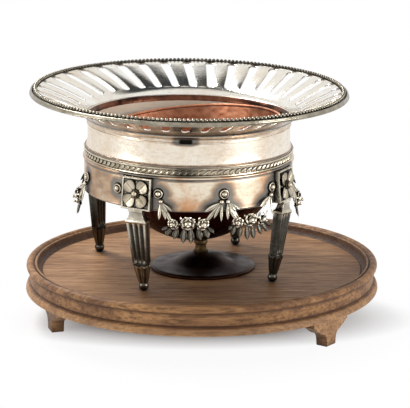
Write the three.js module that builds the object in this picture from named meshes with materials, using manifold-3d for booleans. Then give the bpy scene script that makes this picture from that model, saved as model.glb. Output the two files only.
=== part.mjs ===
// Table brazier: a silver frame with a pierced flange on four fluted legs, a loose copper pan
// for the embers, and the turned wooden stand that both of them rest on.
// Millimetres, +Z up. The origin is on the stand's axis, at the level of the table.

import * as THREE from 'three';
import { mergeVertices } from 'three/addons/utils/BufferGeometryUtils.js';
import Module from 'manifold-3d';

const wasm = await Module();
wasm.setup();

// Driving dimensions

const GAP = 0.3;                    // clearance between pieces that touch
const SEATED = 0.3;                 // clearance under a piece that stands on another

// The wooden stand
const TRAY_RADIUS = 179.3;          // the lower torus, the widest part of the object
const TRAY_SIDES = 48;
const TRAY_UNDERSIDE = 34;          // height of the underside above the table
const TRAY_FLOOR = 54;              // height of the floor that the brazier stands on
const TRAY_FLOOR_RADIUS = 158.5;
const TRAY_RIM_HEIGHT = 8.7;        // above the floor
const STAND_FOOT_ANGLES = [-163, -37, 80];
const STAND_FOOT_FACE = 160;        // distance of a foot's outer face from the axis
const STAND_FOOT_THICKNESS = 13;
const STAND_FOOT_TENON = { width: 30, thickness: 6, height: 8 };

// Where the two loose pieces stand on the tray: neither is quite in the middle
const FRAME_AXIS_X = -15;
const FRAME_LEAN = 0.86;            // degrees that the frame leans to the right on its uneven legs
const PAN_AXIS_X = -3;
const PAN_FOOT_SHIFT = 4;           // the pan's foot was soldered on a little off its bowl's axis

// The silver frame; heights here and below are above the floor of the tray
const FRAME_SIDES = 40;
const SHEET = 1.3;                  // thickness of the sheet that the neck and band are made of
const BAND_RADIUS = 105;
const BAND_BOTTOM = 83.4;
const BAND_TOP = 118;
const MOULDING_TOP = 126.7;
const NECK_RADIUS = 101.8;
const NECK_STEP = 151;              // the fillet where the neck's wall turns into its cove
const FLANGE_FOOT = { radius: 105, height: 158 };
const FLANGE_EDGE = { radius: 152, height: 182.8 };
const FLANGE_THICKNESS = 1.4;
const BEAD_COUNT = 232;

// The section of the rim round the flange's edge
const RIM_INSIDE = { radius: FLANGE_EDGE.radius + 3 * GAP, height: 181.3 };
const RIM_CREST = { radius: 154.3, height: 186.6 };   // the tops of the beads
const BEAD_DEPTH = 1.6;             // from the top of a bead down to the dip beside it
const RIM_WIRE = { radius: 159, height: 183.6 };
const RIM_EDGE = { radius: 160, height: 179.6 };

// The pierced slots of the flange
const SLOT_COUNT = 38;
const SLOT_START = 0.28;            // along the flange's curve, 0 at the neck and 1 at the edge
const SLOT_END = 0.975;
const SLOT_SHARE = 0.4;             // part of each pitch that is cut away
const SLOT_SWIRL = 3.3;             // degrees that a slot turns between its two ends
const STRIP_DOME = 0.5;             // how far a strip's middle stands up above its edges

// The legs, with their square plaques. No two stand quite alike: each has the angle of its
// plaque, and the place of its toe round the frame's axis.
const LEGS = {
  front_left: { angle: -117.4, toeAngle: -115.9, toeRadius: 96.4 },
  front_right: { angle: -27.5, toeAngle: -33.1, toeRadius: 101.9 },
  back_right: { angle: 62, toeAngle: 59.6, toeRadius: 99.3 },
  back_left: { angle: 152, toeAngle: 147.1, toeRadius: 109.1 },
};
const PLAQUE_SIDE = 31.8;
const PLAQUE_FACE = 110;            // distance of the plaque's face from the frame's axis
const PLAQUE_MIDDLE = 99.2;
const PLAQUE_RECESS = 1;
const PLAQUE_TILT = 5;              // degrees that a plaque's face looks up
const LEG_TOP = { radius: 107.6, height: 83.1 };
const TOE_RADIUS = 5;
const TOE_HEIGHT = 4.4;             // of the ball's centre, so that it stands on a small flat
const BOLT_RADIUS = 1.8;

// The garlands and the studs that they hang from, three studs to a bay between two legs
const STUD_ANGLES = {
  front: [-105.8, -70.5, -39],
  right: [-15.5, 19, 50.4],
  back: [74, 109, 140.4],
  left: [164, 199, 229.6],
};
const STUD_HEIGHT = 100.4;
const STUD_RADIUS = 4.7;
const KNOT_SHIFT = 1.6;             // degrees from a stud to the knot of the garland beside it
const GARLAND_RADIUS = 111.5;       // how far out the garland's leaves and roses lie
const GARLAND_LOST = 'left_2';      // the half bay whose garland has broken away
const ROSE_HEIGHT = 72;
const ROSE_RADIUS = 6.2;
const ROSE_SPACING = 7.6;           // degrees between neighbouring roses
const ROSE_SHIFT = -1.5;            // degrees by which the roses hang beside the middle

// The copper pan
const PAN_SIDES = 32;
const PAN_SHEET = 1.5;
const PAN_RIM = { radius: 86, height: 146.5 };
const PAN_BOTTOM = 27.7;
const PAN_STEM_RADIUS = 5.5;
const PAN_FOOT_RADIUS = 52.8;
const PAN_FOOT_HEIGHT = 16;

// Materials

const metal = (color, roughness) =>
  new THREE.MeshStandardMaterial({ color, roughness, metalness: 1 });
const silver = metal('#d9cdb8', 0.28);
const castSilver = metal('#b9ac95', 0.38);
const copper = metal('#8a4a30', 0.42);
const darkCopper = metal('#3a2a22', 0.5);
const brass = metal('#8b7150', 0.45);
const wood = new THREE.MeshStandardMaterial({ color: '#9c7852', roughness: 0.6, metalness: 0 });

// Small tools for solids

const radians = THREE.MathUtils.degToRad;

/** A closed three.js geometry as a solid that can be cut and joined. */
function solid(geometry) {
  const bare = geometry.clone();
  bare.deleteAttribute('normal');
  bare.deleteAttribute('uv');
  const merged = mergeVertices(bare, 1e-4);
  const corners = merged.index.array;
  const triangles = [];
  for (let i = 0; i < corners.length; i += 3) {
    const [a, b, c] = [corners[i], corners[i + 1], corners[i + 2]];
    if (a !== b && b !== c && c !== a) triangles.push(a, b, c);
  }
  return new wasm.Manifold(new wasm.Mesh({
    numProp: 3,
    vertProperties: Float32Array.from(merged.attributes.position.array),
    triVerts: Uint32Array.from(triangles),
  }));
}

/** A solid back as a three.js geometry. */
function geometryOf(body) {
  const mesh = body.getMesh();
  const geometry = new THREE.BufferGeometry();
  geometry.setAttribute('position', new THREE.BufferAttribute(mesh.vertProperties, 3));
  geometry.setIndex(new THREE.BufferAttribute(mesh.triVerts, 1));
  geometry.computeVertexNormals();
  return geometry;
}

const joined = (bodies) => bodies.reduce((whole, body) => whole.add(body));

/** Turns an outline of [radius, height] points, given with its outside on the right hand, about Z. */
function revolve(outline, sides, close = false) {
  const points = outline.map(([r, z]) => new THREE.Vector2(r, z));
  if (close) points.push(points[0].clone());
  return new THREE.LatheGeometry(points, sides).rotateX(Math.PI / 2);
}

const turned = (outline, sides) => solid(revolve(outline, sides));
const ring = (outline, sides) => solid(revolve(outline, sides, true));

/** Points along a Bezier curve as [radius, height] pairs. */
function bezier(start, pullStart, pullEnd, end, steps) {
  const v = ([r, z]) => new THREE.Vector2(r, z);
  const curve = new THREE.CubicBezierCurve(v(start), v(pullStart), v(pullEnd), v(end));
  return curve.getPoints(steps).map((p) => [p.x, p.y]);
}

/** A half round from one angle to another, as [radius, height] points. */
function arc([r, z], radius, from, to, steps) {
  const points = [];
  for (let i = 0; i <= steps; i++) {
    const a = radians(from + (to - from) * i / steps);
    points.push([r + radius * Math.cos(a), z + radius * Math.sin(a)]);
  }
  return points;
}

function box(width, depth, height, x, y, z) {
  return solid(new THREE.BoxGeometry(width, depth, height).translate(x, y, z));
}

/** A point on an upright cylinder, by its angle in degrees. */
function around(radius, angle, height) {
  return new THREE.Vector3(
    radius * Math.cos(radians(angle)), radius * Math.sin(radians(angle)), height);
}

const object = new THREE.Group();
const onTray = new THREE.Group();
onTray.position.z = TRAY_FLOOR + SEATED;
const frame = new THREE.Group();
frame.position.x = FRAME_AXIS_X;
frame.rotation.y = radians(FRAME_LEAN);
const pan = new THREE.Group();
pan.position.x = PAN_AXIS_X;
onTray.add(frame, pan);
object.add(onTray);

function piece(group, name, material, body) {
  const mesh = new THREE.Mesh(body.isBufferGeometry ? body : geometryOf(body), material);
  mesh.name = name;
  group.add(mesh);
  return mesh;
}

// The stand: a round board in a turned rim, mortised for three bracket feet

function standFootOutline() {
  const shape = new THREE.Shape();
  const halfTop = 29;
  const halfBottom = 7.5;
  shape.moveTo(-halfTop, TRAY_UNDERSIDE - GAP);
  shape.lineTo(-halfTop, 23);
  shape.bezierCurveTo(-24, 20, -20, 16, -15, 14.5);
  shape.quadraticCurveTo(-8.5, 12, -halfBottom, 0);
  shape.lineTo(halfBottom, 0);
  shape.quadraticCurveTo(8.5, 12, 15, 14.5);
  shape.bezierCurveTo(20, 16, 24, 20, halfTop, 23);
  shape.lineTo(halfTop, TRAY_UNDERSIDE - GAP);
  return shape;
}

/** Turns what is built facing +X about Z, to the given angle. */
const facing = (body, angle) => body.rotate([0, 0, angle]);

function standFoot() {
  const board = new THREE.ExtrudeGeometry(standFootOutline(), {
    depth: STAND_FOOT_THICKNESS, bevelEnabled: false, curveSegments: 4,
  });
  board.rotateX(Math.PI / 2);
  board.rotateZ(Math.PI / 2);
  board.translate(STAND_FOOT_FACE - STAND_FOOT_THICKNESS, 0, 0);
  return solid(board).add(tenon(0));
}

function tenon(clearance) {
  const { width, thickness, height } = STAND_FOOT_TENON;
  const overlap = 2;
  return box(thickness + 2 * clearance, width + 2 * clearance, height + overlap + clearance,
    STAND_FOOT_FACE - STAND_FOOT_THICKNESS / 2, 0,
    TRAY_UNDERSIDE + (height - overlap + clearance) / 2);
}

/** The flat board in the middle, with a mortise for each foot's tenon. */
function board() {
  const mortises = STAND_FOOT_ANGLES.map((angle) => facing(tenon(GAP), angle));
  return turned([[0, TRAY_UNDERSIDE], [TRAY_FLOOR_RADIUS - GAP, TRAY_UNDERSIDE],
    [TRAY_FLOOR_RADIUS - GAP, TRAY_FLOOR], [0, TRAY_FLOOR]], TRAY_SIDES).subtract(joined(mortises));
}

/** The rim round the board: a torus above and below, with a cove between them. */
function rim() {
  const top = TRAY_FLOOR + TRAY_RIM_HEIGHT;
  const torus = 4.6;
  const cove = TRAY_RADIUS - 6.2;
  return ring([
    [TRAY_FLOOR_RADIUS, TRAY_UNDERSIDE],
    ...arc([TRAY_RADIUS - torus, TRAY_UNDERSIDE + torus], torus, -90, 90, 4),
    [cove, TRAY_FLOOR - 9.4],
    [cove, TRAY_FLOOR - 3],
    ...arc([TRAY_RADIUS - 1.4 - torus, top - torus], torus, -50, 90, 3),
    [TRAY_FLOOR_RADIUS + 4, top - 2.2],
    [TRAY_FLOOR_RADIUS, TRAY_FLOOR],
  ], TRAY_SIDES);
}

piece(object, 'stand_board', wood, board());
piece(object, 'stand_rim', wood, rim());
STAND_FOOT_ANGLES.forEach((angle, i) => {
  piece(object, `stand_foot_${i + 1}`, wood, facing(standFoot(), angle));
});

// The flange: a trumpet of thin silver, pierced by slots that swirl round it, with rounded ends.
// It is a loft. Each pitch is one strip and one slot, both cut by rings along the flange's curve.

// The curve turns out of the neck in a tight bend and runs on as a nearly straight cone
const flangeCurve = new THREE.CubicBezierCurve(
  new THREE.Vector2(FLANGE_FOOT.radius, FLANGE_FOOT.height),
  new THREE.Vector2(FLANGE_FOOT.radius + 1, FLANGE_FOOT.height + 5.5),
  new THREE.Vector2(FLANGE_FOOT.radius + 13, FLANGE_FOOT.height + 8.5),
  new THREE.Vector2(FLANGE_EDGE.radius, FLANGE_EDGE.height));

/** The angle in degrees by which a slot has turned at a place along the flange. */
function swirl(along) {
  return SLOT_SWIRL * THREE.MathUtils.clamp((along - SLOT_START) / (SLOT_END - SLOT_START), 0, 1);
}

/** Half the slot's angle at a place along the flange: none at its ends, which are round. */
function slotHalfAngle(along) {
  const half = (360 / SLOT_COUNT) * SLOT_SHARE / 2;
  const middle = (SLOT_START + SLOT_END) / 2;
  const reach = Math.abs(along - middle) / (SLOT_END - middle);
  return half * Math.sqrt(Math.max(0, 1 - reach ** 12));
}

function pierced() {
  const span = SLOT_END - SLOT_START;
  const slotRings = [0, 0.05, 0.95, 1].map((share) => SLOT_START + span * share);
  const rings = [0, SLOT_START / 2, ...slotRings, 1];
  const first = 2;                  // the ring where the slots begin
  const last = rings.length - 2;    // the ring where they end
  const pitch = 360 / SLOT_COUNT;
  const positions = [];
  const triangles = [];

  const vertex = (along, angle, side, dome) => {
    const point = flangeCurve.getPoint(along);
    const tangent = flangeCurve.getTangent(along);
    const out = side * FLANGE_THICKNESS / 2 + dome;
    const p = around(point.x - tangent.y * out, angle, point.y + tangent.x * out);
    positions.push(p.x, p.y, p.z);
    return positions.length / 3 - 1;
  };
  // For each pitch and ring: the strip's near edge, middle and far edge above, its edges below.
  // Where a slot has no width, the strip's far edge is the near edge of the next strip.
  const grid = [];
  for (let k = 0; k < SLOT_COUNT; k++) {
    grid.push(rings.map((along, i) => {
      const half = slotHalfAngle(along);
      const from = k * pitch + swirl(along) + half;
      const to = (k + 1) * pitch + swirl(along) - half;
      const dome = i >= first && i <= last ? STRIP_DOME : 0;
      const open = half > 0;
      return {
        top: [vertex(along, from, 1, 0), vertex(along, (from + to) / 2, 1, dome),
          open ? vertex(along, to, 1, 0) : null],
        under: [vertex(along, from, -1, 0), open ? vertex(along, to, -1, 0) : null],
      };
    }));
  }
  const face = (...c) => {
    for (let n = 2; n < c.length; n++) triangles.push(c[0], c[n - 1], c[n]);
  };
  for (let k = 0; k < SLOT_COUNT; k++) {
    const next = grid[(k + 1) % SLOT_COUNT];
    const station = (i) => {
      const { top, under } = grid[k][i];
      return [top[0], top[1], top[2] ?? next[i].top[0], under[0], under[1] ?? next[i].under[0]];
    };
    for (let i = 0; i + 1 < rings.length; i++) {
      const [near, middle, far, underNear, underFar] = station(i);
      const [near2, middle2, far2, underNear2, underFar2] = station(i + 1);
      face(near, near2, middle2, middle);
      face(middle, middle2, far2, far);
      face(underNear, underFar, underFar2, underNear2);
      if (i >= first && i < last) {
        face(far, far2, underFar2, underFar);
        face(underNear, underNear2, near2, near);
      }
    }
    const [near, middle, far, underNear, underFar] = station(0);
    face(underNear, near, middle, far, underFar);
    const [near2, middle2, far2, underNear2, underFar2] = station(rings.length - 1);
    face(underNear2, underFar2, far2, middle2, near2);
  }
  const geometry = new THREE.BufferGeometry();
  geometry.setAttribute('position', new THREE.Float32BufferAttribute(positions, 3));
  geometry.setIndex(triangles);
  return solid(geometry);
}

piece(frame, 'flange', silver, pierced());

// The bead border: a cast ring round the flange's edge, with a row of beads along its crest and
// a wire outside them

function beadBorder() {
  const perFacet = 8;                 // crest corners to one facet of the ring's plain edges
  const crestCorners = BEAD_COUNT * 2;
  const facets = crestCorners / perFacet;
  const crest = (i) => i % crestCorners;
  const [inside, wire, edge] = [0, 1, 2].map((n) => (j) => crestCorners + n * facets + j % facets);
  const corners = [];
  const triangles = [];
  for (let i = 0; i < crestCorners; i++) {
    const height = RIM_CREST.height - (i % 2 ? BEAD_DEPTH : 0);
    corners.push(around(RIM_CREST.radius, i * 360 / crestCorners, height));
  }
  for (const { radius, height } of [RIM_INSIDE, RIM_WIRE, RIM_EDGE]) {
    for (let j = 0; j < facets; j++) corners.push(around(radius, j * 360 / facets, height));
  }
  for (let j = 0; j < facets; j++) {
    const start = j * perFacet;
    const half = perFacet / 2;
    for (let i = 0; i < perFacet; i++) {
      const near = i < half ? j : j + 1;
      triangles.push(inside(near), crest(start + i), crest(start + i + 1));
      triangles.push(wire(near), crest(start + i + 1), crest(start + i));
    }
    triangles.push(inside(j), crest(start + half), inside(j + 1));
    triangles.push(wire(j), wire(j + 1), crest(start + half));
    triangles.push(wire(j), edge(j), edge(j + 1), wire(j), edge(j + 1), wire(j + 1));
    triangles.push(inside(j), edge(j + 1), edge(j), inside(j), inside(j + 1), edge(j + 1));
  }
  const geometry = new THREE.BufferGeometry().setFromPoints(corners);
  geometry.setIndex(triangles);
  return solid(geometry);
}

piece(frame, 'bead_border', silver, beadBorder());

// The neck, the leaf moulding and the band below it

function neck() {
  const inside = NECK_RADIUS - SHEET;
  const top = FLANGE_FOOT.height - GAP;
  return ring([
    [inside, MOULDING_TOP + GAP],
    [NECK_RADIUS + 2.7, MOULDING_TOP + GAP],
    [NECK_RADIUS, MOULDING_TOP + 2.4],
    [NECK_RADIUS, NECK_STEP - 1.2],
    [NECK_RADIUS + 1.1, NECK_STEP],
    [NECK_RADIUS + 0.2, NECK_STEP + 1.3],
    [NECK_RADIUS + 1.1, top - 3],
    [FLANGE_FOOT.radius + 0.7, top],
    [FLANGE_FOOT.radius - 0.7, top],
    [inside, NECK_STEP + 2],
  ], FRAME_SIDES);
}

function leafMoulding() {
  const bottom = BAND_TOP + GAP;
  const inside = BAND_RADIUS - 3.8;
  return ring([
    [inside, bottom],
    [BAND_RADIUS + 0.9, bottom],
    [BAND_RADIUS, bottom + 1.6],
    ...arc([BAND_RADIUS - 1.9, bottom + 4.7], 3.3, -45, 45, 2),
    [BAND_RADIUS - 0.4, MOULDING_TOP],
    [inside, MOULDING_TOP],
  ], FRAME_SIDES);
}

function band() {
  const inside = BAND_RADIUS - SHEET;
  const wire = 0.6;
  const shell = ring([
    [inside, BAND_BOTTOM],
    [BAND_RADIUS + wire, BAND_BOTTOM],
    [BAND_RADIUS, BAND_BOTTOM + 1.6],
    [BAND_RADIUS, BAND_TOP - 1.6],
    [BAND_RADIUS + wire, BAND_TOP],
    [inside, BAND_TOP],
  ], FRAME_SIDES);
  const holes = Object.values(LEGS).map(({ angle }) => facing(boltHole(), angle));
  return shell.subtract(joined(holes));
}

/** A round bar along X, through the band at the height of the bolts. */
function bar(radius, from, to, sides = 8) {
  const geometry = new THREE.CylinderGeometry(radius, radius, to - from, sides);
  geometry.rotateZ(Math.PI / 2);
  geometry.translate((from + to) / 2, 0, PLAQUE_MIDDLE);
  return solid(geometry);
}

const boltHole = () => bar(BOLT_RADIUS + GAP, BAND_RADIUS - 9, BAND_RADIUS + 3);

piece(frame, 'neck', silver, neck());
piece(frame, 'leaf_moulding', castSilver, leafMoulding());
piece(frame, 'band', silver, band());

// The legs. Each casting is a square plaque over a waisted neck, a tapered shaft with three
// flutes to a face, a foot wrapped in leaves, and a ball for a toe. It is built facing +X.

/** An outline of a rectangle whose faces carry flutes, three on the broad ones. */
function flutedOutline(halfWidth, halfDepth) {
  const shape = new THREE.Shape();
  const depth = 1.3;
  const run = (from, to, flutes) => {
    const step = to.clone().sub(from).divideScalar(flutes * 2 + 1);
    const inward = new THREE.Vector2(-step.y, step.x).normalize().multiplyScalar(depth);
    for (let i = 0; i < flutes; i++) {
      const start = from.clone().addScaledVector(step, 2 * i + 0.75);
      const bottom = from.clone().addScaledVector(step, 2 * i + 1.5).add(inward);
      const end = from.clone().addScaledVector(step, 2 * i + 2.25);
      for (const p of [start, bottom, end]) shape.lineTo(p.x, p.y);
    }
    shape.lineTo(to.x, to.y);
  };
  const [a, b, c, d] = [[1, -1], [1, 1], [-1, 1], [-1, -1]]
    .map(([x, y]) => new THREE.Vector2(x * halfDepth, y * halfWidth));
  shape.moveTo(a.x, a.y);
  run(a, b, 3);
  shape.lineTo(c.x, c.y);
  run(c, d, 3);
  return shape;
}

/** Draws the upper and lower end of an upright solid in or out, about the Z axis. */
function tapered(geometry, height, topScale) {
  const position = geometry.attributes.position;
  for (let i = 0; i < position.count; i++) {
    const share = position.getZ(i) / height;
    const k = 1 + (topScale - 1) * share;
    position.setX(i, position.getX(i) * k);
    position.setY(i, position.getY(i) * k);
  }
  return geometry;
}

/** An upright four-sided solid that follows [half width, half depth, height] stations. */
function squareTurned(stations) {
  const parts = [];
  for (let i = 0; i + 1 < stations.length; i++) {
    const [w, d, z] = stations[i];
    const [w2, d2, z2] = stations[i + 1];
    const geometry = new THREE.BoxGeometry(2, 2, z2 - z).translate(0, 0, (z + z2) / 2);
    const position = geometry.attributes.position;
    for (let n = 0; n < position.count; n++) {
      const upper = position.getZ(n) > (z + z2) / 2;
      position.setX(n, position.getX(n) * (upper ? d2 : d));
      position.setY(n, position.getY(n) * (upper ? w2 : w));
    }
    parts.push(solid(geometry));
  }
  return joined(parts);
}

/** The foot of a leg: a bell of pointed leaves that grows out of the ball of the toe. */
function leafFoot(top) {
  const leaves = 6;
  const profile = [[3.2, 5], [5.2, 11], [6.7, 18], [6.5, top + 2]];
  const geometry = revolve([[0, 5], ...profile, [0, top + 2]], leaves * 2);
  const position = geometry.attributes.position;
  for (let i = 0; i < position.count; i++) {
    const [x, y, z] = [position.getX(i), position.getY(i), position.getZ(i)];
    const angle = Math.atan2(y, x);
    const rib = Math.round(angle / (Math.PI / leaves)) % 2 === 0 ? 1.08 : 0.9;
    position.setXYZ(i, x * rib, y * rib * 1.12, z);
  }
  return solid(geometry);
}

/** The leg below its plaque, standing straight on its toe. */
function uprightLeg() {
  const shaftFoot = 28;
  const shaftHead = 69;
  const shaft = new THREE.ExtrudeGeometry(flutedOutline(8, 3.6), {
    depth: shaftHead - shaftFoot, steps: 1, bevelEnabled: false,
  });
  tapered(shaft, shaftHead - shaftFoot, 1.3);
  shaft.translate(0, 0, shaftFoot);
  const blocks = squareTurned([
    [10.4, 4.7, shaftHead - 0.5], [11.6, 5.3, shaftHead + 1.4], [9.8, 4.2, shaftHead + 3.2],
    [6.9, 3.4, shaftHead + 8], [10.6, 4, LEG_TOP.height + 1.5],
  ]);
  const collar = squareTurned([[8.5, 4, shaftFoot - 3], [8.3, 4, shaftFoot + 0.5]]);
  const toe = turned([[0, TOE_HEIGHT - TOE_RADIUS],
    ...arc([0, TOE_HEIGHT], TOE_RADIUS, -60, 60, 3), [0, 9]], 8);
  return joined([toe, leafFoot(shaftFoot - 4), collar, solid(shaft), blocks]);
}

/** Tips what is built facing +X about the middle of the plaque, so that it looks up a little. */
const tilted = (body) => body
  .translate([-PLAQUE_FACE, 0, -PLAQUE_MIDDLE])
  .rotate([0, -PLAQUE_TILT, 0])
  .translate([PLAQUE_FACE, 0, PLAQUE_MIDDLE]);

/** The square plaque with its raised border and the lip below it. */
function plaque() {
  const border = 2.5;
  const recess = PLAQUE_SIDE - 2 * border;
  const bottom = PLAQUE_MIDDLE - PLAQUE_SIDE / 2;
  return tilted(box(8, PLAQUE_SIDE, PLAQUE_SIDE, PLAQUE_FACE - 4, 0, PLAQUE_MIDDLE)
    .add(box(4.5, 20, 4, PLAQUE_FACE - 2.6, 0, bottom))
    .subtract(box(2 * PLAQUE_RECESS, recess, recess, PLAQUE_FACE, 0, PLAQUE_MIDDLE)));
}

/** The height of the tray's floor under the leaning frame, in the frame's own coordinates. */
const floorAt = (x) => x * Math.tan(radians(FRAME_LEAN));

/** Moves an upright leg so that it runs from under its plaque to its toe's own place. */
function slanted(upright, { angle, toeAngle, toeRadius }) {
  const top = around(LEG_TOP.radius, angle, LEG_TOP.height);
  const toe = around(toeRadius, toeAngle, 0);
  toe.z = floorAt(toe.x) + TOE_HEIGHT;
  const up = top.clone().sub(toe);
  const stretch = up.length() / (LEG_TOP.height - TOE_HEIGHT);
  up.normalize();
  const sideways = new THREE.Vector3().crossVectors(up, around(1, angle, 0)).normalize();
  const outward = new THREE.Vector3().crossVectors(sideways, up);
  const place = new THREE.Matrix4().makeBasis(outward, sideways, up.multiplyScalar(stretch));
  place.setPosition(top);
  const belowFloor = box(400, 400, 20, 0, 0, -10).rotate([0, -FRAME_LEAN, 0]);
  return upright.translate([0, 0, -LEG_TOP.height]).transform(place.elements).subtract(belowFloor);
}

/** A leg in its place, with the back of its plaque cut to the curve of the band. */
function legAt(stance) {
  const wallRadius = BAND_RADIUS + 0.6 + GAP;
  const wall = turned([[0, 60], [wallRadius, 60], [wallRadius, 140], [0, 140]], FRAME_SIDES);
  const fromBandUp = BAND_BOTTOM - GAP;
  const above = turned([[0, fromBandUp], [130, fromBandUp], [130, 140], [0, 140]], 8);
  const shaft = slanted(uprightLeg(), stance).subtract(above.intersect(wall));
  const bolt = bar(BOLT_RADIUS, BAND_RADIUS - 6.5, PLAQUE_FACE - 3);
  return facing(plaque(), stance.angle).subtract(wall).add(shaft).add(facing(bolt, stance.angle));
}

/** The nut inside the band that holds a leg's bolt. */
function legNut() {
  const nut = bar(4.2, BAND_RADIUS - SHEET - GAP - 3.4, BAND_RADIUS - SHEET - GAP - 0.4, 6);
  return nut.subtract(boltHole());
}

/** An applied flower with four petals round a boss that stands out from them. */
function rosette() {
  const thickness = 4.2;
  const petals = [45, 135, 225, 315].map((angle) => {
    const petal = new THREE.SphereGeometry(1, 6, 3);
    petal.scale(thickness / 2, 5.6, 5);
    petal.translate(0, 7.9, 0);
    petal.rotateX(radians(angle));
    return solid(petal);
  });
  const middle = solid(new THREE.SphereGeometry(3.4, 6, 4).translate(1.6, 0, 0));
  return tilted(joined([...petals, middle])
    .translate([PLAQUE_FACE - PLAQUE_RECESS + GAP + thickness / 2, 0, PLAQUE_MIDDLE]));
}

for (const [place, stance] of Object.entries(LEGS)) {
  const { angle } = stance;
  piece(frame, `leg_${place}`, castSilver, legAt(stance));
  piece(frame, `rosette_${place}`, castSilver, facing(rosette(), angle));
  piece(frame, `leg_nut_${place}`, brass, facing(legNut(), angle));
}

// The studs on the band, and the garlands of willow leaves and roses that hang between them

function stud() {
  const knob = revolve([[0, 0], [STUD_RADIUS, 0], [STUD_RADIUS, 1.7], [3.2, 1.3], [0, 4.2]], 8);
  knob.rotateY(Math.PI / 2);
  knob.translate(BAND_RADIUS + GAP, 0, STUD_HEIGHT);
  return solid(knob);
}

/** A pointed leaf from one point to another, lying flat against the wall of the band. */
function leafBetween(from, to, width, thickness) {
  const blade = revolve([[0, 0], [1, 0.58], [0, 1]], 4);
  const along = to.clone().sub(from);
  const middle = from.clone().add(to).multiplyScalar(0.5);
  const outward = new THREE.Vector3(middle.x, middle.y, 0).normalize();
  const across = new THREE.Vector3().crossVectors(along.clone().normalize(), outward).normalize();
  outward.crossVectors(across, along.clone().normalize());
  const place = new THREE.Matrix4().makeBasis(
    across.multiplyScalar(width / 2), outward.multiplyScalar(thickness / 2), along);
  place.setPosition(from);
  blade.applyMatrix4(place);
  return solid(place.determinant() < 0 ? flipped(blade) : blade);
}

/** The same geometry with its faces turned over. */
function flipped(geometry) {
  const index = geometry.index.array;
  for (let i = 0; i < index.length; i += 3) [index[i], index[i + 1]] = [index[i + 1], index[i]];
  return geometry;
}

/** A round boss, flattened against the wall of the band: a rose or a knot of leaves. */
function boss(centre, angle, radius) {
  const flower = new THREE.SphereGeometry(1, 6, 3);
  flower.rotateZ(-Math.PI / 2);
  flower.scale(0.62 * radius, radius, radius);
  flower.rotateZ(radians(angle));
  flower.translate(centre.x, centre.y, centre.z);
  return solid(flower);
}

/** A garland between the studs at two angles: sprays at its ends, three roses and hanging leaves. */
function garland(start, end) {
  const middle = (start + end) / 2 + ROSE_SHIFT;
  const knotRadius = 2.4;
  const bodies = [];
  const leaf = (from, radius, angle, height, width, thickness) =>
    bodies.push(leafBetween(from, around(radius, angle, height), width, thickness));
  for (const [stud, toward] of [[start, 1], [end, -1]]) {
    const side = stud + toward * KNOT_SHIFT;
    const knot = around(BAND_RADIUS + 2.4, side, STUD_HEIGHT - STUD_RADIUS - GAP - knotRadius);
    const outerRose = middle - toward * ROSE_SPACING;
    bodies.push(boss(knot, side, knotRadius));
    leaf(knot, GARLAND_RADIUS, outerRose - toward, ROSE_HEIGHT + 2, 5.4, 3.4);
    leaf(knot, GARLAND_RADIUS - 1, side + toward * 5.5, ROSE_HEIGHT + 12, 4.6, 3);
    leaf(knot, GARLAND_RADIUS - 1, side, ROSE_HEIGHT + 4, 4.4, 3);
  }
  for (const side of [-1, 0, 1]) {
    const angle = middle + side * ROSE_SPACING;
    const height = ROSE_HEIGHT + (side ? 0 : 1);
    const centre = around(GARLAND_RADIUS + 1, angle, height);
    bodies.push(boss(centre, angle, ROSE_RADIUS));
    leaf(centre, GARLAND_RADIUS, angle + side * 3, side ? 57.5 : 54, 7, 4);
    if (side) leaf(centre, GARLAND_RADIUS, angle - 3 * side, ROSE_HEIGHT + 9, 4.5, 3.4);
  }
  const nearRose = around(GARLAND_RADIUS - 1, middle - ROSE_SPACING, ROSE_HEIGHT - 1);
  leaf(nearRose, GARLAND_RADIUS - 1, middle + ROSE_SPACING, ROSE_HEIGHT - 1, 5, 4);
  return joined(bodies);
}

for (const [bay, studs] of Object.entries(STUD_ANGLES)) {
  studs.forEach((angle, n) => {
    piece(frame, `stud_${bay}_${n + 1}`, castSilver, facing(stud(), angle));
  });
  for (const n of [0, 1]) {
    const name = `${bay}_${n + 1}`;
    if (name === GARLAND_LOST) continue;
    piece(frame, `garland_${name}`, castSilver, garland(studs[n], studs[n + 1]));
  }
}

// The copper pan: a bell-shaped bowl, a rim wire, a short stem and a spun foot

function panBowl() {
  const { radius, height } = PAN_RIM;
  const lower = bezier([0, PAN_BOTTOM], [34, PAN_BOTTOM], [56, 52], [58, 84], 4);
  const upper = bezier([58, 84], [60, 112], [70, 134], [radius, height], 3).slice(1);
  const outside = [...lower, ...upper];
  const inside = outside.map(([r, z], i) => {
    const [r1, z1] = outside[Math.max(i - 1, 0)];
    const [r2, z2] = outside[Math.min(i + 1, outside.length - 1)];
    const length = Math.hypot(r2 - r1, z2 - z1);
    const inward = Math.max(0, r - PAN_SHEET * (z2 - z1) / length);
    return [inward, z + PAN_SHEET * (r2 - r1) / length];
  });
  inside[0] = [0, PAN_BOTTOM + PAN_SHEET];
  return turned([...outside, ...inside.reverse()], PAN_SIDES);
}

function panRim() {
  const { radius, height } = PAN_RIM;
  const wire = 1.3;
  return ring(arc([radius - 0.2, height + PAN_SHEET + GAP + wire], wire, -120, 180, 4), PAN_SIDES);
}

function panStem() {
  const foot = PAN_FOOT_HEIGHT + GAP;
  const head = PAN_BOTTOM - GAP;
  return turned([[0, foot], [PAN_STEM_RADIUS + 2, foot], [PAN_STEM_RADIUS + 1.5, foot + 1.6],
    [PAN_STEM_RADIUS, foot + 3.6], [PAN_STEM_RADIUS, head - 3], [PAN_STEM_RADIUS + 2.2, head],
    [0, head]], 14);
}

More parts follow.
